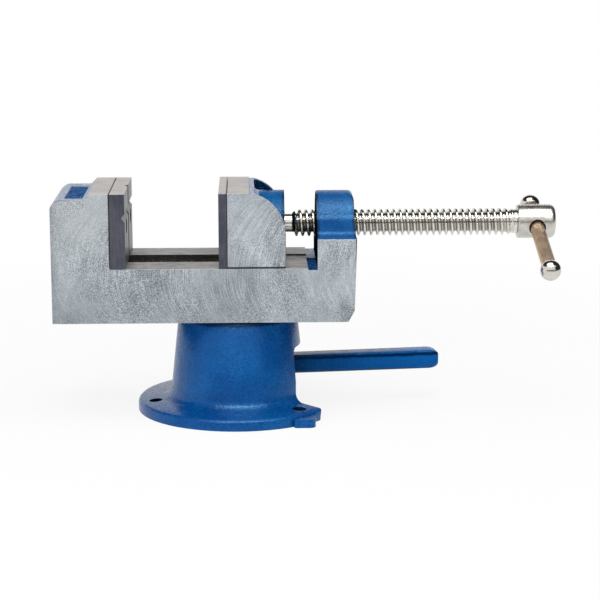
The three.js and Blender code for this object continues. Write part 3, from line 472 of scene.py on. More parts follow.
def shade_and_seam_lines(iron):
    """Share of the painted shade under the movable jaw, and of the dark lines at the seats of the plates."""
    x, _, z = iron.parts()
    height = [BED_TOP + rise * MM for rise in (0.05, 0.2, 1.0, 1.5)]
    length = [FIXED_SEAT, FIXED_SEAT + MM, BRACKET_INNER - 2 * MM, BRACKET_INNER - MM]
    # Painted shade in the gap under the movable jaw
    shade_under_jaw = iron.product(iron.between(z, *height), iron.between(x, *length), 0.97)
    return iron.larger(shade_under_jaw, plate_gap(iron))


def far_edges(iron):
    """Share of shade at the upright edges that turn away: the movable jaw's back and the body's outer end."""
    x, _, z = iron.parts()
    edge = [JAW_BACK + way * MM for way in (-0.6, -0.3, 0.1, 0.2)]
    jaw_edge = iron.product(iron.between(x, *edge), iron.span(z, BED_TOP + 0.2 * MM, BED_TOP + 0.4 * MM), 0.6)
    end_edge = iron.span(x, BRACKET_OUTER - 0.8 * MM, BRACKET_OUTER - 0.4 * MM, 0.0, 0.55)
    return iron.larger(jaw_edge, end_edge)


def crown_paint(iron, colour):
    """The enamel on the nut bracket's sides, over a pale painted highlight along the paint's ragged foot."""
    x, _, z = iron.parts()
    bracket = iron.span(x, BRACKET_INNER - 0.2 * MM, BRACKET_INNER)
    ragged = iron.total(z, iron.span(iron.noise(260, 2.0), 0.3, 0.7, -0.25 * MM, 0.25 * MM))
    # Painted highlight along the foot of the paint
    edge_highlight = iron.product(bracket, iron.span(ragged, PAINT_FOOT - 0.9 * MM, PAINT_FOOT - 0.3 * MM), 0.6)
    painted = iron.product(bracket, iron.span(ragged, PAINT_FOOT - 0.1 * MM, PAINT_FOOT + 0.1 * MM))
    return iron.blend(painted, iron.blend(edge_highlight, colour, tint(206, 214, 222)), SIDE_BLUE)


def ground_side():
    """Flat ground sides: cool grey with grit and arcs of grinding marks that come and go."""
    iron = Finish("ground iron sides", metallic=0.25)
    lines = grinding_lines(iron, 62 * MM, 92 * MM, 2200)
    marks = grinding_marks(iron, lines)
    lit = iron.total(iron.product(marks, 0.44), side_grit(iron))
    colour = iron.blend(iron.larger(lit, 0.0), side_grey(iron), tint(232, 237, 241))
    colour = iron.blend(iron.larger(iron.product(lit, -1.0), 0.0), colour, tint(54, 60, 66))
    # Painted shade under the movable jaw, and dark seams at the plates
    colour = iron.blend(shade_and_seam_lines(iron), colour, tint(20, 22, 26))
    colour = iron.blend(far_edges(iron), colour, tint(44, 48, 56))
    colour = crown_paint(iron, colour)
    rough = iron.span(marks, -1.0, 1.0, 0.52, 0.40)
    return iron.wire(Base_Color=colour, Roughness=rough, Normal=iron.bump(lines, 0.05 * MM, 0.5))


def ground_top(name, light, dirt):
    """Surface-ground faces: warm grey with straight lines along X, smears, specks and a painted highlight
    along the outer edge.
    """
    iron = Finish(name, metallic=0.35)
    lines = iron.noise(1.0, 3.0, 0.6, iron.mapped((30, 1100, 400)))
    drift = iron.span(iron.noise(70, 3.0), 0.35, 0.65)
    colour = iron.blend(drift, tint(174, 173, 174, light), tint(199, 188, 180, light))
    smear = iron.noise(1.0, 4.0, 0.65, iron.mapped((90, 260, 260)), 0.8)
    colour = iron.blend(iron.span(smear, 0.42, 0.60, 0.0, 0.85 * dirt), colour, tint(98, 102, 104))
    colour = iron.blend(iron.span(lines, 0.4, 0.7, 0.0, 0.30), colour, tint(150, 146, 140, light))
    specks = iron.span(iron.noise(1300, 2.0, 0.7), 0.70 - 0.10 * dirt, 0.80 - 0.10 * dirt, 0.0, 0.55)
    colour = iron.blend(specks, colour, tint(80, 74, 66))
    across = iron.maths("ABSOLUTE", iron.parts()[1])
    # Painted highlight along the outer edge of the top
    rim = iron.span(across, HALF_WIDTH - 1.3 * MM, HALF_WIDTH - 0.7 * MM, 0.0, 0.7)
    colour = iron.blend(rim, colour, tint(222, 222, 220))
    colour = iron.blend(plate_gap(iron), colour, tint(24, 22, 22))
    rough = iron.span(lines, 0.3, 0.7, 0.36, 0.48)
    return iron.wire(Base_Color=colour, Roughness=rough, Normal=iron.bump(lines, 0.04 * MM, 0.5))


def worn_cast():
    """Thin paint on cast strips: pale lavender grey, blue where more is left, dark on the shelf's rim."""
    cast = Finish("thin paint on cast iron", metallic=0.1, specular_ior_level=0.1)
    pores = cast.span(cast.noise(520, 3.0, 0.6), 0.42, 0.62)
    colour = cast.blend(pores, tint(138, 150, 172), tint(188, 196, 210))
    paint_left = cast.span(cast.noise(340, 3.0, 0.7), 0.56, 0.70, 0.0, 0.75)
    colour = cast.blend(paint_left, colour, tint(40, 76, 128))
    x, y, _ = cast.parts()
    taper = cast.product(cast.less(x, BODY_BACK), 0.2)
    outer = cast.less(cast.product(y, -1.0), taper)
    rim = cast.product(cast.span(outer, HALF_WIDTH - 4.4 * MM, HALF_WIDTH - 3.4 * MM),
                       cast.span(x, BODY_BACK + 9 * MM, BODY_BACK + 18 * MM, 0.9, 0.0))
    colour = cast.blend(rim, colour, tint(16, 26, 44))
    rough = cast.span(pores, 0.0, 1.0, 0.5, 0.38)
    pitted = cast.bump(cast.noise(520, 3.0), 0.25 * MM, 0.6)
    return cast.wire(Base_Color=colour, Roughness=rough, Normal=pitted)


def raw_cast():
    """Oily unpainted cast faces: near black brown with paler grains, with painted shadow from the slot's top
    upwards.
    """
    cast = Finish("oily cast iron", metallic=0.2)
    grain = cast.span(cast.noise(800, 3.0, 0.65), 0.45, 0.72)
    colour = cast.blend(grain, tint(30, 26, 22), tint(104, 94, 76))
    # Painted shadow from the slot's top upwards
    shadow_at_slot_top = cast.span(cast.parts()[2], BED_TOP - 4.6 * MM, BED_TOP - 2.4 * MM, 0.0, 0.8)
    colour = cast.blend(shadow_at_slot_top, colour, tint(14, 12, 12))
    rough = cast.span(grain, 0.0, 1.0, 0.7, 0.5)
    pitted = cast.bump(cast.noise(700, 3.0), 0.4 * MM, 0.8)
    return cast.wire(Base_Color=colour, Roughness=rough, Normal=pitted)


# Steel and nickel

def plate_end():
    """Hardened plate ends: satin blue grey with faint clouds and upright lines."""
    steel = Finish("hardened plate ends", metallic=0.35)
    cloud = steel.span(steel.noise(90, 3.0), 0.35, 0.65)
    colour = steel.blend(cloud, tint(58, 60, 72), tint(76, 78, 90))
    fine = steel.noise(1.0, 2.0, 0.5, steel.mapped((1200, 60, 90)))
    colour = steel.blend(steel.span(fine, 0.35, 0.7, 0.0, 0.25), colour, tint(98, 98, 108))
    rough = steel.span(cloud, 0.0, 1.0, 0.42, 0.5)
    return steel.wire(Base_Color=colour, Roughness=rough, Normal=steel.bump(fine, 0.03 * MM, 0.4))


def gripping_face(name, light, metal):
    """Ground working faces and groove walls of the plates: fine upright lines, and dark smears made
    stronger low down as painted shade.
    """
    steel = Finish(name, metallic=metal, specular_ior_level=0.1)
    fine = steel.noise(1.0, 3.0, 0.6, steel.mapped((200, 1300, 40)))
    lines = steel.span(fine, 0.35, 0.7)
    colour = steel.blend(lines, tint(176, 182, 184, light), tint(120, 124, 126, light))
    smear = steel.span(steel.noise(1.0, 3.0, 0.6, steel.mapped((60, 130, 14))), 0.42, 0.56)
    # Painted shade: the dark smears grow stronger low down
    shade_low_down = steel.span(steel.parts()[2], JAW_TOP - 22 * MM, JAW_TOP - 12 * MM, 0.42, 0.1)
    colour = steel.blend(steel.product(smear, shade_low_down), colour, tint(34, 36, 40))
    rough = steel.span(fine, 0.3, 0.7, 0.3, 0.42)
    return steel.wire(Base_Color=colour, Roughness=rough, Normal=steel.bump(fine, 0.04 * MM, 0.5))


def turned_steel():
    """Plain fasteners and washers: turned grey steel with a thin dark oil."""
    steel = Finish("plain turned steel", metallic=0.9)
    cloud = steel.span(steel.noise(600, 3.0), 0.35, 0.65)
    colour = steel.blend(cloud, tint(120, 120, 122), tint(160, 159, 157))
    rough = steel.span(cloud, 0.0, 1.0, 0.3, 0.42)
    turned = steel.bump(steel.noise(900, 2.0), 0.05 * MM, 0.4)
    return steel.wire(Base_Color=colour, Roughness=rough, Normal=turned)


def thread_oil(plate):
    """Share of dark oil: in the thread's root, thinner beyond the bracket, and all over the thread's start."""
    x, y, z = plate.parts()
    rise = plate.less(z, SCREW_HEIGHT)
    radius = plate.maths("SQRT", plate.total(plate.product(y, y), plate.product(rise, rise)))
    in_the_root = plate.product(plate.span(radius, 6.2 * MM, 7.4 * MM, 1.0, 0.0),
                                plate.span(x, BRACKET_INNER, BRACKET_INNER + 30 * MM, 0.78, 0.45))
    first_turn = plate.span(x, THREAD_START + 1.2 * MM, THREAD_START + 2.2 * MM, 0.9, 0.0)
    threaded = plate.span(x, THREAD_START - 0.1 * MM, THREAD_START + 0.2 * MM)
    return plate.product(plate.larger(in_the_root, first_turn), threaded)


def bright_nickel(name, sharp, blurred, light=1.0, warmth=0.0, oiled=False):
    """Nickel plate over turned steel: a hazy mirror, made warmer by the given warmth, with or without the
    thread's oil.
    """
    plate = Finish(name, metallic=1.0)
    haze = plate.span(plate.noise(160, 2.0), 0.35, 0.65)
    colour = plate.blend(haze, tint(196, 193 - 22 * warmth, 185 - 38 * warmth, light),
                         tint(216, 214 - 20 * warmth, 208 - 36 * warmth, light))
    if oiled:
        colour = plate.blend(thread_oil(plate), colour, tint(34, 28, 22))
    rough = plate.span(haze, 0.0, 1.0, sharp, blurred)
    wave = plate.bump(plate.noise(90, 1.0), 0.05 * MM, 0.3)
    return plate.wire(Base_Color=colour, Roughness=rough, Normal=wave)


# The finishes of the castings and plates, and which face has which

X_AXIS, Z_AXIS = 0, 2
side_iron = ground_side()
top_iron = ground_top("ground iron jaw tops", 1.0, 0.2)
thin_paint = worn_cast()
plate_ends = plate_end()
plate_face = gripping_face("ground plate faces", 0.78, 0.25)
# Very dark steel for groove walls, seats and plate backs: oil, and painted shade in the grooves and gaps
oily_and_shaded_steel = gripping_face("oily groove walls and seats in painted shade", 0.10, 0.0)

BODY_FINISHES = {
    "ground side": side_iron,
    "jaw top": top_iron,
    # The bracket's bands along its inner and outer ends are painted shade
    "bracket": blue_enamel("blue enamel on the nut bracket", 1.06, 1.04, 1.8, 0.42, 0.05, painted_shade_bands=[
        (X_AXIS, *[BRACKET_INNER + way * MM for way in (-0.3, 0, 0.6, 1.9)]),
        (X_AXIS, *[BRACKET_OUTER + way * MM for way in (-2.6, -1.2, 2, 3)])], blur=0.28),
    "thin paint": thin_paint,
    "panel": blue_enamel("blue enamel on the shelf panel", 0.9, peel=2.0, chips_and_glints=0.8, chips_a_metre=1500),
    "core": raw_cast(),
    "rails": ground_top("ground iron rails", 0.85, 1.15),
    # The hollows and the outer end take darker copies of the blue as painted shade
    "hollow": blue_enamel("blue enamel in painted shade in the hollows", 0.26),
    "outer end": blue_enamel("blue enamel in painted shade on the outer end", 0.75),
    "run-out": blue_enamel("blue enamel in the run-out groove", 0.9, chips_and_glints=0.3),
}
JAW_FINISHES = {
    "ground side": side_iron,
    "jaw top": top_iron,
    # The band at the boss's back end is painted shade
    "boss": blue_enamel("blue enamel on the movable jaw", 1.04, 1.06, 1.6, 0.26, blur=0.24, painted_shade_bands=[
        (X_AXIS, *[JAW_BACK + way * MM for way in (-2.6, -1.0, -0.5, -0.42)])]),
    "thin paint": thin_paint,
    # Darker copy of the blue in the pockets: painted shade
    "pocket": blue_enamel("blue enamel in painted shade in the pockets", 0.6, gloss=0.05, chips_and_glints=0.12),
    "seat": oily_and_shaded_steel,
}
PLATE_FINISHES = {"end": plate_ends, "top": top_iron, "face": plate_face, "oily": oily_and_shaded_steel}
BASE_FINISHES = {
    # The band just under the cup's top is a painted shadow of the body above
    "outside": blue_enamel("blue enamel on the base", 1.05, 0.98, 1.4, 0.46, blur=0.18, painted_shade_bands=[
        (Z_AXIS, *[CUP_TOP + way * MM for way in (-3.6, -2.4, 2, 3)])]),
    # Darker copies of the blue in the holes and inside the cup: painted shade
    "bolt hole": blue_enamel("blue enamel in painted shade in the bolt holes", 0.16),
    "inside": blue_enamel("blue enamel in painted shade inside the cup", 0.5),
}
LEVER_FINISHES = {
    # The two bands along the lever's top and bottom are painted shade
    "all over": blue_enamel("blue enamel on the lever", 0.87, 0.98, 1.2, 0.10, painted_shade_bands=[
        (Z_AXIS, *[LEVER_TOP + way * MM for way in (-3.5, -2.6, -1.3, -0.6)]),
        (Z_AXIS, *[LEVER_TOP + way * MM for way in (-13.5, -12.8, -12.3, -10.6)])],
        lighter_end=(X_AXIS, LEVER_END - 90 * MM, LEVER_END - 10 * MM)),
}


def near(values, place, reach):
    """Whether each value lies within reach of a place."""
    return np.abs(values - place) < reach


def outer_side(centres, normals):
    """Whether each face is on the flat outer side of a casting as wide as the jaws."""
    return (np.abs(normals[:, 1]) > 0.99) & near(np.abs(centres[:, 1]), HALF_WIDTH, 0.05 * MM)


def body_faces(centres, normals):
    """Ground sides, rails and jaw top; painted back, bracket and end, with painted shade on the end and on
    the bracket's inner face; a shelf in thin paint; oily cores.
    """
    x, y, z = centres.T
    nx, nz = normals[:, 0], normals[:, 2]
    upward, downward = nz > 0.9, nz < -0.9
    side = outer_side(centres, normals)
    within = np.abs(y) < HALF_WIDTH - CORE_WALL
    chosen = np.full(len(centres), "ground side")
    chosen[upward & near(z, JAW_TOP, 0.3 * MM)] = "jaw top"
    chosen[upward & near(z, BED_TOP, 0.95 * MM) & (x < BRACKET_INNER)] = "rails"
    chosen[(x > BRACKET_INNER - 0.3 * MM) & (z > BED_TOP) & ~side] = "bracket"
    chosen[(x > BRACKET_INNER + 20 * MM) & ~side] = "bracket"
    chosen[(x < BODY_BACK + 0.6 * MM) & (nx < -0.9) & ~side] = "bracket"
    chosen[near(x, BRACKET_INNER, 0.3 * MM) & (nx < -0.9)] = "hollow"
    chosen[(x > BRACKET_OUTER - 1.4 * MM) & (nx > 0.9)] = "outer end"
    groove_start = BRACKET_INNER - RUN_OUT_LENGTH
    run_out = (x > groove_start) & (x < BRACKET_INNER) & (z < BED_TOP - 0.3 * MM) & (z > RAIL_UNDER)
    run_out &= nz > 0.3
    chosen[run_out] = "run-out"
    chosen[run_out & (y > 4 * MM)] = "thin paint"
    behind_jaw = (z > SHELF_TOP - SHELF_ROUNDING) & (z < JAW_TOP - 0.3 * MM) & (x < FIXED_SEAT - 12 * MM)
    chosen[behind_jaw & (nz > 0.1) & ~side] = "thin paint"
    chosen[upward & near(z, SHELF_TOP - PANEL_DEPTH, 0.2 * MM) & (x < FIXED_SEAT)] = "panel"
    inside_ends = (x < BRACKET_OUTER - CORE_WALL) & (x > BODY_BACK + CORE_WALL)
    chosen[within & inside_ends & (z < BED_TOP - 3.2 * MM) & ~downward] = "core"
    slot = (np.abs(y) < HALF_SLOT) & (z < BED_TOP - 1.2 * MM) & (z > RAIL_UNDER) & (x < groove_start)
    chosen[slot & (nz < 0.5)] = "core"
    chosen[(nx > 0.9) & near(x, FIXED_SEAT, 0.3 * MM)] = "core"
    chosen[downward & (z < BODY_BOTTOM + 0.3 * MM)] = "ground side"
    chosen[downward & (z > BODY_BOTTOM + 1 * MM) & (z < BED_TOP)] = "core"
    inside_jaw = (x > BODY_BACK + CORE_WALL) & (x < FIXED_SEAT - 14 * MM) & (z < SHELF_TOP - 12 * MM)
    chosen[within & inside_jaw] = "core"
    return chosen


def jaw_faces(centres, normals):
    """Ground sides and top; blue boss, pockets in painted shade; thin paint on the lip and ribs; seat and foot
    oily and in painted shade.
    """
    x, y, z = centres.T
    nx, nz = normals[:, 0], normals[:, 2]
    side = outer_side(centres, normals)
    upward = nz > 0.9
    from_axis = np.hypot(y, z - SCREW_HEIGHT)
    pocket_front = JAW_FRONT + POCKET_FRONT_DEPTH
    chosen = np.full(len(centres), "boss", "<U11")
    pocket = (x > pocket_front - 0.3 * MM) & (x < JAW_BACK - 6 * MM) & (np.abs(y) < HALF_WIDTH - 4.5 * MM)
    chosen[pocket & (from_axis > 21.5 * MM)] = "pocket"
    boss_root = (from_axis > 20.6 * MM) & (from_axis < 24.5 * MM) & (x < pocket_front + 3 * MM) & (nx > 0.15)
    chosen[boss_root & (x > pocket_front + 0.1 * MM) & (z > SCREW_HEIGHT)] = "thin paint"
    chosen[side] = "ground side"
    chosen[upward & (z > JAW_TOP - 0.3 * MM)] = "jaw top"
    chosen[(nx < -0.9) & (x < JAW_FRONT + 1.5 * MM)] = "seat"
    chosen[upward & near(z, JAW_TOP - 0.8 * MM, 0.2 * MM)] = "thin paint"
    rib_edge = (np.abs(y) > HALF_WIDTH - 4.7 * MM) & (nx > 0.05) & (z > BED_TOP) & ~side
    chosen[rib_edge & ((nz > 0.02) | (x > JAW_BACK - 0.5 * MM))] = "thin paint"
    chosen[z < BED_TOP + 0.6 * MM] = "seat"
    return chosen


def plate_faces(way):
    """Dark ends, ground top, bright face on the side the plate grips; oily back, groove walls and holes,
    dark partly as painted shade.
    """
    def choose(centres, normals):
        nx, ny, nz = normals.T
        chosen = np.full(len(centres), "oily")
        chosen[nx * way > 0.95] = "face"
        chosen[(nz > 0.4) & (nx * way > 0.4)] = "face"
        chosen[np.abs(ny) > 0.99] = "end"
        chosen[nz > 0.99] = "top"
        return chosen
    return choose


def base_faces(centres, normals):
    """Enamel outside, with painted shade inside: darker inside the cup and the near bolt hole, and darkest in
    the two other holes.
    """
    x, y = centres[:, 0], centres[:, 1]
    from_axis = np.hypot(x, y)
    outwardness = normals[:, 0] * x + normals[:, 1] * y
    upright = np.abs(normals[:, 2]) < 0.5
    chosen = np.full(len(centres), "outside", "<U9")
    chosen[(from_axis > 44 * MM) & (from_axis < 66 * MM) & upright & (outwardness < 0)] = "bolt hole"
    for angle in BOLT_ANGLES:
        from_bolt = np.hypot(x - BOLT_CIRCLE * math.cos(angle), y - BOLT_CIRCLE * math.sin(angle))
        chosen[(from_bolt < 5.5 * MM) & upright] = "inside" if angle == NEAR_BOLT else "bolt hole"
    chosen[(outwardness < -0.5 * from_axis) & (from_axis < 40 * MM)] = "inside"
    return chosen


dressed("vise_body", "body_casting", "vise_body", BODY_FINISHES, body_faces, 0.5 * MM)
dressed("movable_jaw", "jaw_casting", "movable_jaw", JAW_FINISHES, jaw_faces, 0.4 * MM)
dressed("fixed_jaw_plate", "grooved_plate", "vise_body",
        PLATE_FINISHES, plate_faces(1), 0.25 * MM)
dressed("movable_jaw_plate", "plain_plate", "movable_jaw",
        PLATE_FINISHES, plate_faces(-1), 0.25 * MM)
dressed("base_casting", "cup_and_flange", "base", BASE_FINISHES, base_faces, 0.8 * MM, 40)
dressed("lock_lever", "lever_and_hub", "lock_lever", LEVER_FINISHES, None, 0.5 * MM, 40)


# Screw, hub and sliding bar

def lead_screw_rings():
    """Radius = root(x) + (crest(x) - root(x)) * tooth(x / pitch - angle / turn), a right-hand helix about +X.

    tooth() is a rounded trapezium: a smooth step of the distance from the middle of the gap. Crest and root
    part over a short lead-in by the neck, and meet again over a longer run-out by the hub."""
    closed, groove_radius, groove_half = 1e-10, 4.6 * MM, 3.7 * MM
    lead_in_length, run_out_length = 2.2 * MM, 14 * MM
    rings_a_turn, sides = 18, 72
    inner_end, groove = JAW_BACK - 23 * MM, JAW_BACK - 10.9 * MM
    thread_end = THREAD_START + THREAD_LENGTH
    neck = [[inner_end, closed], [inner_end, NECK_RADIUS - 0.4 * MM], [inner_end + 0.4 * MM, NECK_RADIUS],
            [groove - groove_half, NECK_RADIUS], [groove - groove_half, groove_radius],
            [groove + groove_half, groove_radius], [groove + groove_half, NECK_RADIUS]]
    neck += [[THREAD_START - before * MM, NECK_RADIUS] for before in (0.7, 0.4, 0.1)]
    tail = [[thread_end + 0.2 * MM, SHANK_RADIUS], [HUB_START - 0.3 * MM, SHANK_RADIUS],
            [HUB_START - 0.3 * MM, SPIGOT_RADIUS], [HUB_START + 6 * MM, SPIGOT_RADIUS],
            [HUB_START + 6 * MM, closed]]
    neck, tail = np.array(neck), np.array(tail)
    run = np.linspace(THREAD_START, thread_end, int(round(THREAD_LENGTH / PITCH * rings_a_turn)) + 1)
    lead_in = np.clip((run - THREAD_START) / lead_in_length, 0, 1)
    run_out = np.clip((thread_end - run) / run_out_length, 0, 1) ** 0.7
    start_radius = NECK_RADIUS + 0.05 * MM
    root = SHANK_RADIUS + (ROOT_RADIUS - SHANK_RADIUS) * run_out
    root[run < THREAD_START + 1.2 * MM] = start_radius
    crest = np.minimum(start_radius + 2.7 * MM * lead_in,
                       SHANK_RADIUS + (CREST_RADIUS - SHANK_RADIUS) * np.clip(run_out * 1.6, 0, 1))
    x = np.concatenate([neck[:, 0], run, tail[:, 0]])
    roots = np.concatenate([neck[:, 1], root, tail[:, 1]])
    crests = np.concatenate([neck[:, 1], np.maximum(root, crest), tail[:, 1]])
    angle = np.arange(sides) * TURN / sides
    phase = (x[:, None] - THREAD_START) / PITCH - angle[None, :] / TURN
    from_gap = np.abs((phase % 1.0) - 0.5) * 2
    step = np.clip((from_gap - 0.22) / 0.56, 0, 1)
    tooth = step * step * (3 - 2 * step)
    radius = roots[:, None] + (crests - roots)[:, None] * tooth
    return np.stack([np.broadcast_to(x[:, None], radius.shape),
                     radius * np.cos(angle), radius * np.sin(angle) + SCREW_HEIGHT], -1)


def hub_mesh():
    """Turned hub with a thin front chamfer and a rounded outer end, bored for the bar and for the screw."""
    along_screw, hub_centre = (1, 0, 0), (HUB_START, 0, SCREW_HEIGHT)
    bore_radius, bore_reach = 5.4 * MM, 16 * MM
    socket_radius, socket_depth = 5.3 * MM, 6.3 * MM
    rounding = arc_points((HUB_RADIUS - HUB_ROUNDING, HUB_LENGTH - HUB_ROUNDING), HUB_ROUNDING, 0, 78, 10)
    profile = np.vstack([
        [0, 0], [socket_radius, 0], [HUB_RADIUS - 1.1 * MM, 0], [HUB_RADIUS - 0.5 * MM, 0.15 * MM],
        [HUB_RADIUS, 0.9 * MM], rounding, [3.0 * MM, HUB_LENGTH - 0.02 * MM], [0, HUB_LENGTH]])
    bore = [[0, -bore_reach], [bore_radius, -bore_reach], [bore_radius, bore_reach], [0, bore_reach]]
    socket = [[0, -2 * MM], [socket_radius, -2 * MM], [socket_radius, socket_depth], [0, socket_depth]]
    return bored(skin("hub", lathe_rings(profile, 128, hub_centre, along_screw), 45),
                 skin("bore", lathe_rings(bore, 96, CROSS_HOLE, BAR_ALONG), 45),
                 skin("socket", lathe_rings(socket, 48, hub_centre, along_screw), 45))


def bar_profile():
    """Bar with small end chamfers and the spigots that enter the balls."""
    near_end, far_end = NEAR_REACH - BALL_FLAT - 0.3 * MM, -(FAR_REACH - BALL_FLAT - 0.3 * MM)
    chamfer, spigot = 0.3 * MM, 6 * MM
    return [[0, far_end - spigot], [BAR_SPIGOT, far_end - spigot], [BAR_SPIGOT, far_end],
            [BAR_RADIUS - chamfer, far_end], [BAR_RADIUS, far_end + chamfer], [BAR_RADIUS, 0],
            [BAR_RADIUS, near_end - chamfer], [BAR_RADIUS - chamfer, near_end], [BAR_SPIGOT, near_end],
            [BAR_SPIGOT, near_end + spigot], [0, near_end + spigot]]


def ball_profile():
    """Ball cut flat where it meets the bar, with a softened rim and a bore for the spigot."""
    bore_radius, bore_end = BAR_SPIGOT + 0.3 * MM, 1.0 * MM
    rim = math.degrees(math.asin(BALL_FLAT / BALL_RADIUS))
    outside = arc_points((0, 0), BALL_RADIUS, -rim + 1.5, 90, 30)
    return np.vstack([[0, bore_end], [bore_radius, bore_end], [bore_radius, -BALL_FLAT],
                      [BALL_FLAT_RADIUS - 0.2 * MM, -BALL_FLAT], outside])


screw_nickel = bright_nickel("bright nickel on the screw", 0.14, 0.22, 1.05, oiled=True)
hub_nickel = bright_nickel("bright nickel on the hub", 0.26, 0.34, 0.98)
bar_nickel = bright_nickel("warm nickel on the bar", 0.36, 0.46, warmth=1.24)
ball_nickel = bright_nickel("bright nickel on the balls", 0.12, 0.20)

screw_mesh = skin("threaded_screw", lead_screw_rings(), 60)
finish_piece("threaded_screw", screw_mesh, "lead_screw", [screw_nickel], ["lead_screw"])
hub_piece = finish_piece("turned_hub", hub_mesh(), "lead_screw", [hub_nickel], ["drive_hub"])
soften(hub_piece, "broken edges", 0.25 * MM, 40)
bar_mesh = skin("round_bar", lathe_rings(bar_profile(), 64, BAR_MIDDLE, BAR_ALONG), 40)
finish_piece("round_bar", bar_mesh, "handle_bar", [bar_nickel], ["sliding_bar"])
for name, reach, way in [("near", NEAR_REACH, 1), ("far", -FAR_REACH, -1)]:
    rings = lathe_rings(ball_profile(), 64, BAR_MIDDLE + BAR_ALONG * reach, BAR_ALONG * way)
    finish_piece(f"end_ball_{name}", skin(f"end_ball_{name}", rings, 40), "handle_bar",
                 [ball_nickel], [f"bar_ball_{name}"])


# Small CAD nodes that keep their own shape

steel = turned_steel()
for node in ["lock_washer", "pivot_bolt", "fixed_plate_screw_near", "fixed_plate_screw_far",
             "movable_plate_screw_near", "movable_plate_screw_far", "keeper_plate", "keeper_screw_near",
             "keeper_screw_far", "neck_screw", "hub_pin"]:
    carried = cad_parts[node]
    carried.data.materials.clear()
    carried.data.materials.append(steel)


# Floor, light and camera

WHITE = (1, 1, 1, 1)
WORLD_LIGHT = 0.38
FLOOR_REACH = 6.0
FLOOR_GREYS = [(0.90, 0.90, 0.90, 1), (0.92, 0.92, 0.92, 1)]
SHADOW_START, SHADOW_STOP, FLOOR_GLOW = 0.15, 0.6, 0.86
FRAME_PIXELS, FOCAL_PIXELS = 600, 1966.55
CAMERA_PLACE = Vector((9.02, -1244.06, 322.56)) * MM
CAMERA_HEADING, CAMERA_TILT, CAMERA_ROLL = -1.4307, 11.4775, -0.125


def white_for_the_eye(tree):
    """1 for camera, glossy and transmission rays, else 0."""
    path = tree.nodes.new("ShaderNodeLightPath")
    total = path.outputs["Is Camera Ray"]
    for ray in ["Is Glossy Ray", "Is Transmission Ray"]:
        joined = tree.nodes.new("ShaderNodeMath")
        joined.operation = "MAXIMUM"
        tree.links.new(total, joined.inputs[0])
        tree.links.new(path.outputs[ray], joined.inputs[1])
        total = joined.outputs[0]
    return total


def studio_world():
    """Plain white for the eye and for reflections, softer white as light."""
    world = bpy.data.worlds.new("studio")
    bpy.context.scene.world = world
    world.use_nodes = True
    tree = world.node_tree
    strength = tree.nodes.new("ShaderNodeMapRange")
    tree.links.new(white_for_the_eye(tree), strength.inputs[0])
    strength.inputs[3].default_value = WORLD_LIGHT
    strength.inputs[4].default_value = 1.0
    background = tree.nodes["Background"]
    background.inputs["Color"].default_value = WHITE
    tree.links.new(strength.outputs[0], background.inputs["Strength"])


def flat_sheet(name, corners, material):
    """A sheet of one material between four corners."""
    mesh = bpy.data.meshes.new(name)
    mesh.from_pydata(corners, [], [(0, 1, 2, 3)])
    mesh.materials.append(material)
    sheet = bpy.data.objects.new(name, mesh)
    bpy.context.scene.collection.objects.link(sheet)
    return sheet


def studio_floor():
    """A wide pale plane under the base: it keeps the vise's shadow, and turns plain white further out."""
    paint = Finish("pale floor", roughness=0.9)
    tree = paint.material.node_tree
    paint.wire(Base_Color=paint.blend(paint.span(paint.noise(3.0), 0.3, 0.7), *FLOOR_GREYS))
    glow = paint.add("ShaderNodeEmission", {"Color": WHITE, "Strength": 1.0})
    distance = paint.add("ShaderNodeVectorMath", {0: paint.place}, 1, operation="LENGTH")
    further_out = paint.span(distance, SHADOW_START, SHADOW_STOP, FLOOR_GLOW, 1.0)
    mixed = tree.nodes.new("ShaderNodeMixShader")
    tree.links.new(paint.product(white_for_the_eye(tree), further_out), mixed.inputs[0])
    tree.links.new(paint.shader.outputs[0], mixed.inputs[1])
    tree.links.new(glow, mixed.inputs[2])
    tree.links.new(mixed.outputs[0], tree.nodes["Material Output"].inputs["Surface"])
    corners = [(x * FLOOR_REACH, y * FLOOR_REACH, 0) for x, y in [(-1, -1), (1, -1), (1, 1), (-1, 1)]]
    floor = flat_sheet("floor", corners, paint.material)


def soft_lamp(name, place, aim, size, power, mirrored=True, lights=True):
    """A soft box that looks at a point; gloss mirrors it or not, and it lights dull surfaces or not."""
    lamp = bpy.data.lights.new(name, "AREA")
    lamp.shape = "RECTANGLE"
    lamp.size, lamp.size_y = size
    lamp.energy = power
    holder = bpy.data.objects.new(name, lamp)
    holder.location = place
    holder.rotation_mode = "QUATERNION"
    holder.rotation_quaternion = (Vector(aim) - Vector(place)).to_track_quat("-Z", "Y")
    holder.visible_glossy = mirrored
    holder.visible_diffuse = lights
    bpy.context.scene.collection.objects.link(holder)


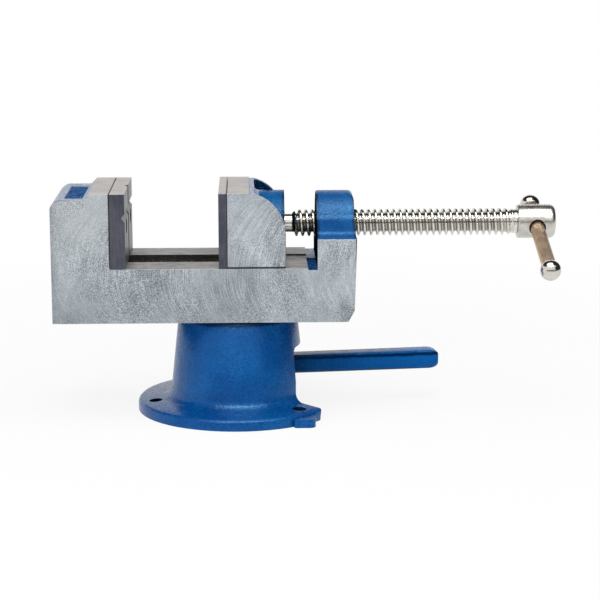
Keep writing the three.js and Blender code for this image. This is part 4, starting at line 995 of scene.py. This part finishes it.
def dark_card(name, corner, along, upward, shade):
    """A dark card that only bright metal and gloss mirror, for the dark lines on the nickel."""
    corner, along, upward = Vector(corner), Vector(along), Vector(upward)
    finish = Finish(name, roughness=1.0, specular_ior_level=0.0)
    lighter = [1.2 * part for part in shade]
    colour = finish.blend(finish.noise(4.0), (*shade, 1), (*lighter, 1))
    corners = [corner, corner + along, corner + along + upward, corner + upward]
    card = flat_sheet(name, corners, finish.wire(Base_Color=colour))
    card.visible_camera = False
    card.visible_diffuse = False
    card.visible_shadow = False


def studio_camera():
    """The photograph's view: a place, and turns in degrees about Z, down from level and about its sight."""
    camera = bpy.data.cameras.new("camera")
    camera.sensor_fit = "HORIZONTAL"
    camera.sensor_width = 36
    camera.lens = FOCAL_PIXELS / FRAME_PIXELS * camera.sensor_width
    camera.clip_start, camera.clip_end = 0.05, 50
    holder = bpy.data.objects.new("camera", camera)
    turn = (Matrix.Rotation(math.radians(CAMERA_HEADING), 4, "Z")
            @ Matrix.Rotation(math.radians(90 - CAMERA_TILT), 4, "X")
            @ Matrix.Rotation(math.radians(CAMERA_ROLL), 4, "Z"))
    holder.matrix_world = Matrix.Translation(CAMERA_PLACE) @ turn
    bpy.context.scene.collection.objects.link(holder)
    bpy.context.scene.camera = holder


studio_world()
studio_floor()
soft_lamp("top box", (0.0, -0.42, 1.3), (0.0, -0.42, 0.0), (1.1, 1.1), 11.5)
soft_lamp("strip behind", (0.1, 1.35, 1.05), (0, 0, 0.05), (1.3, 0.09), 0.9, True, False)
soft_lamp("strip above", (0.1, -0.72, 1.25), (0, 0, 0.05), (1.2, 0.06), 12, True, False)
soft_lamp("front fill", (-0.5, -1.7, 0.7), (0, 0, 0.1), (1.4, 1.0), 13, False)
dark_card("dark front", (-2.5, -2.2, 0.03), (5, 0, 0), (0, 0, 0.57), (0.16, 0.13, 0.10))
dark_card("dark ceiling", (-2.5, -0.6, 1.9), (5, 0, 0), (0, 3.2, -0.4), (0.05, 0.05, 0.05))
dark_card("dark right", (2.2, -2.0, 0.12), (0, 5.5, 0), (0, 0, 1.68), (0.06, 0.06, 0.06))
studio_camera()
bpy.context.scene.view_settings.view_transform = "Standard"
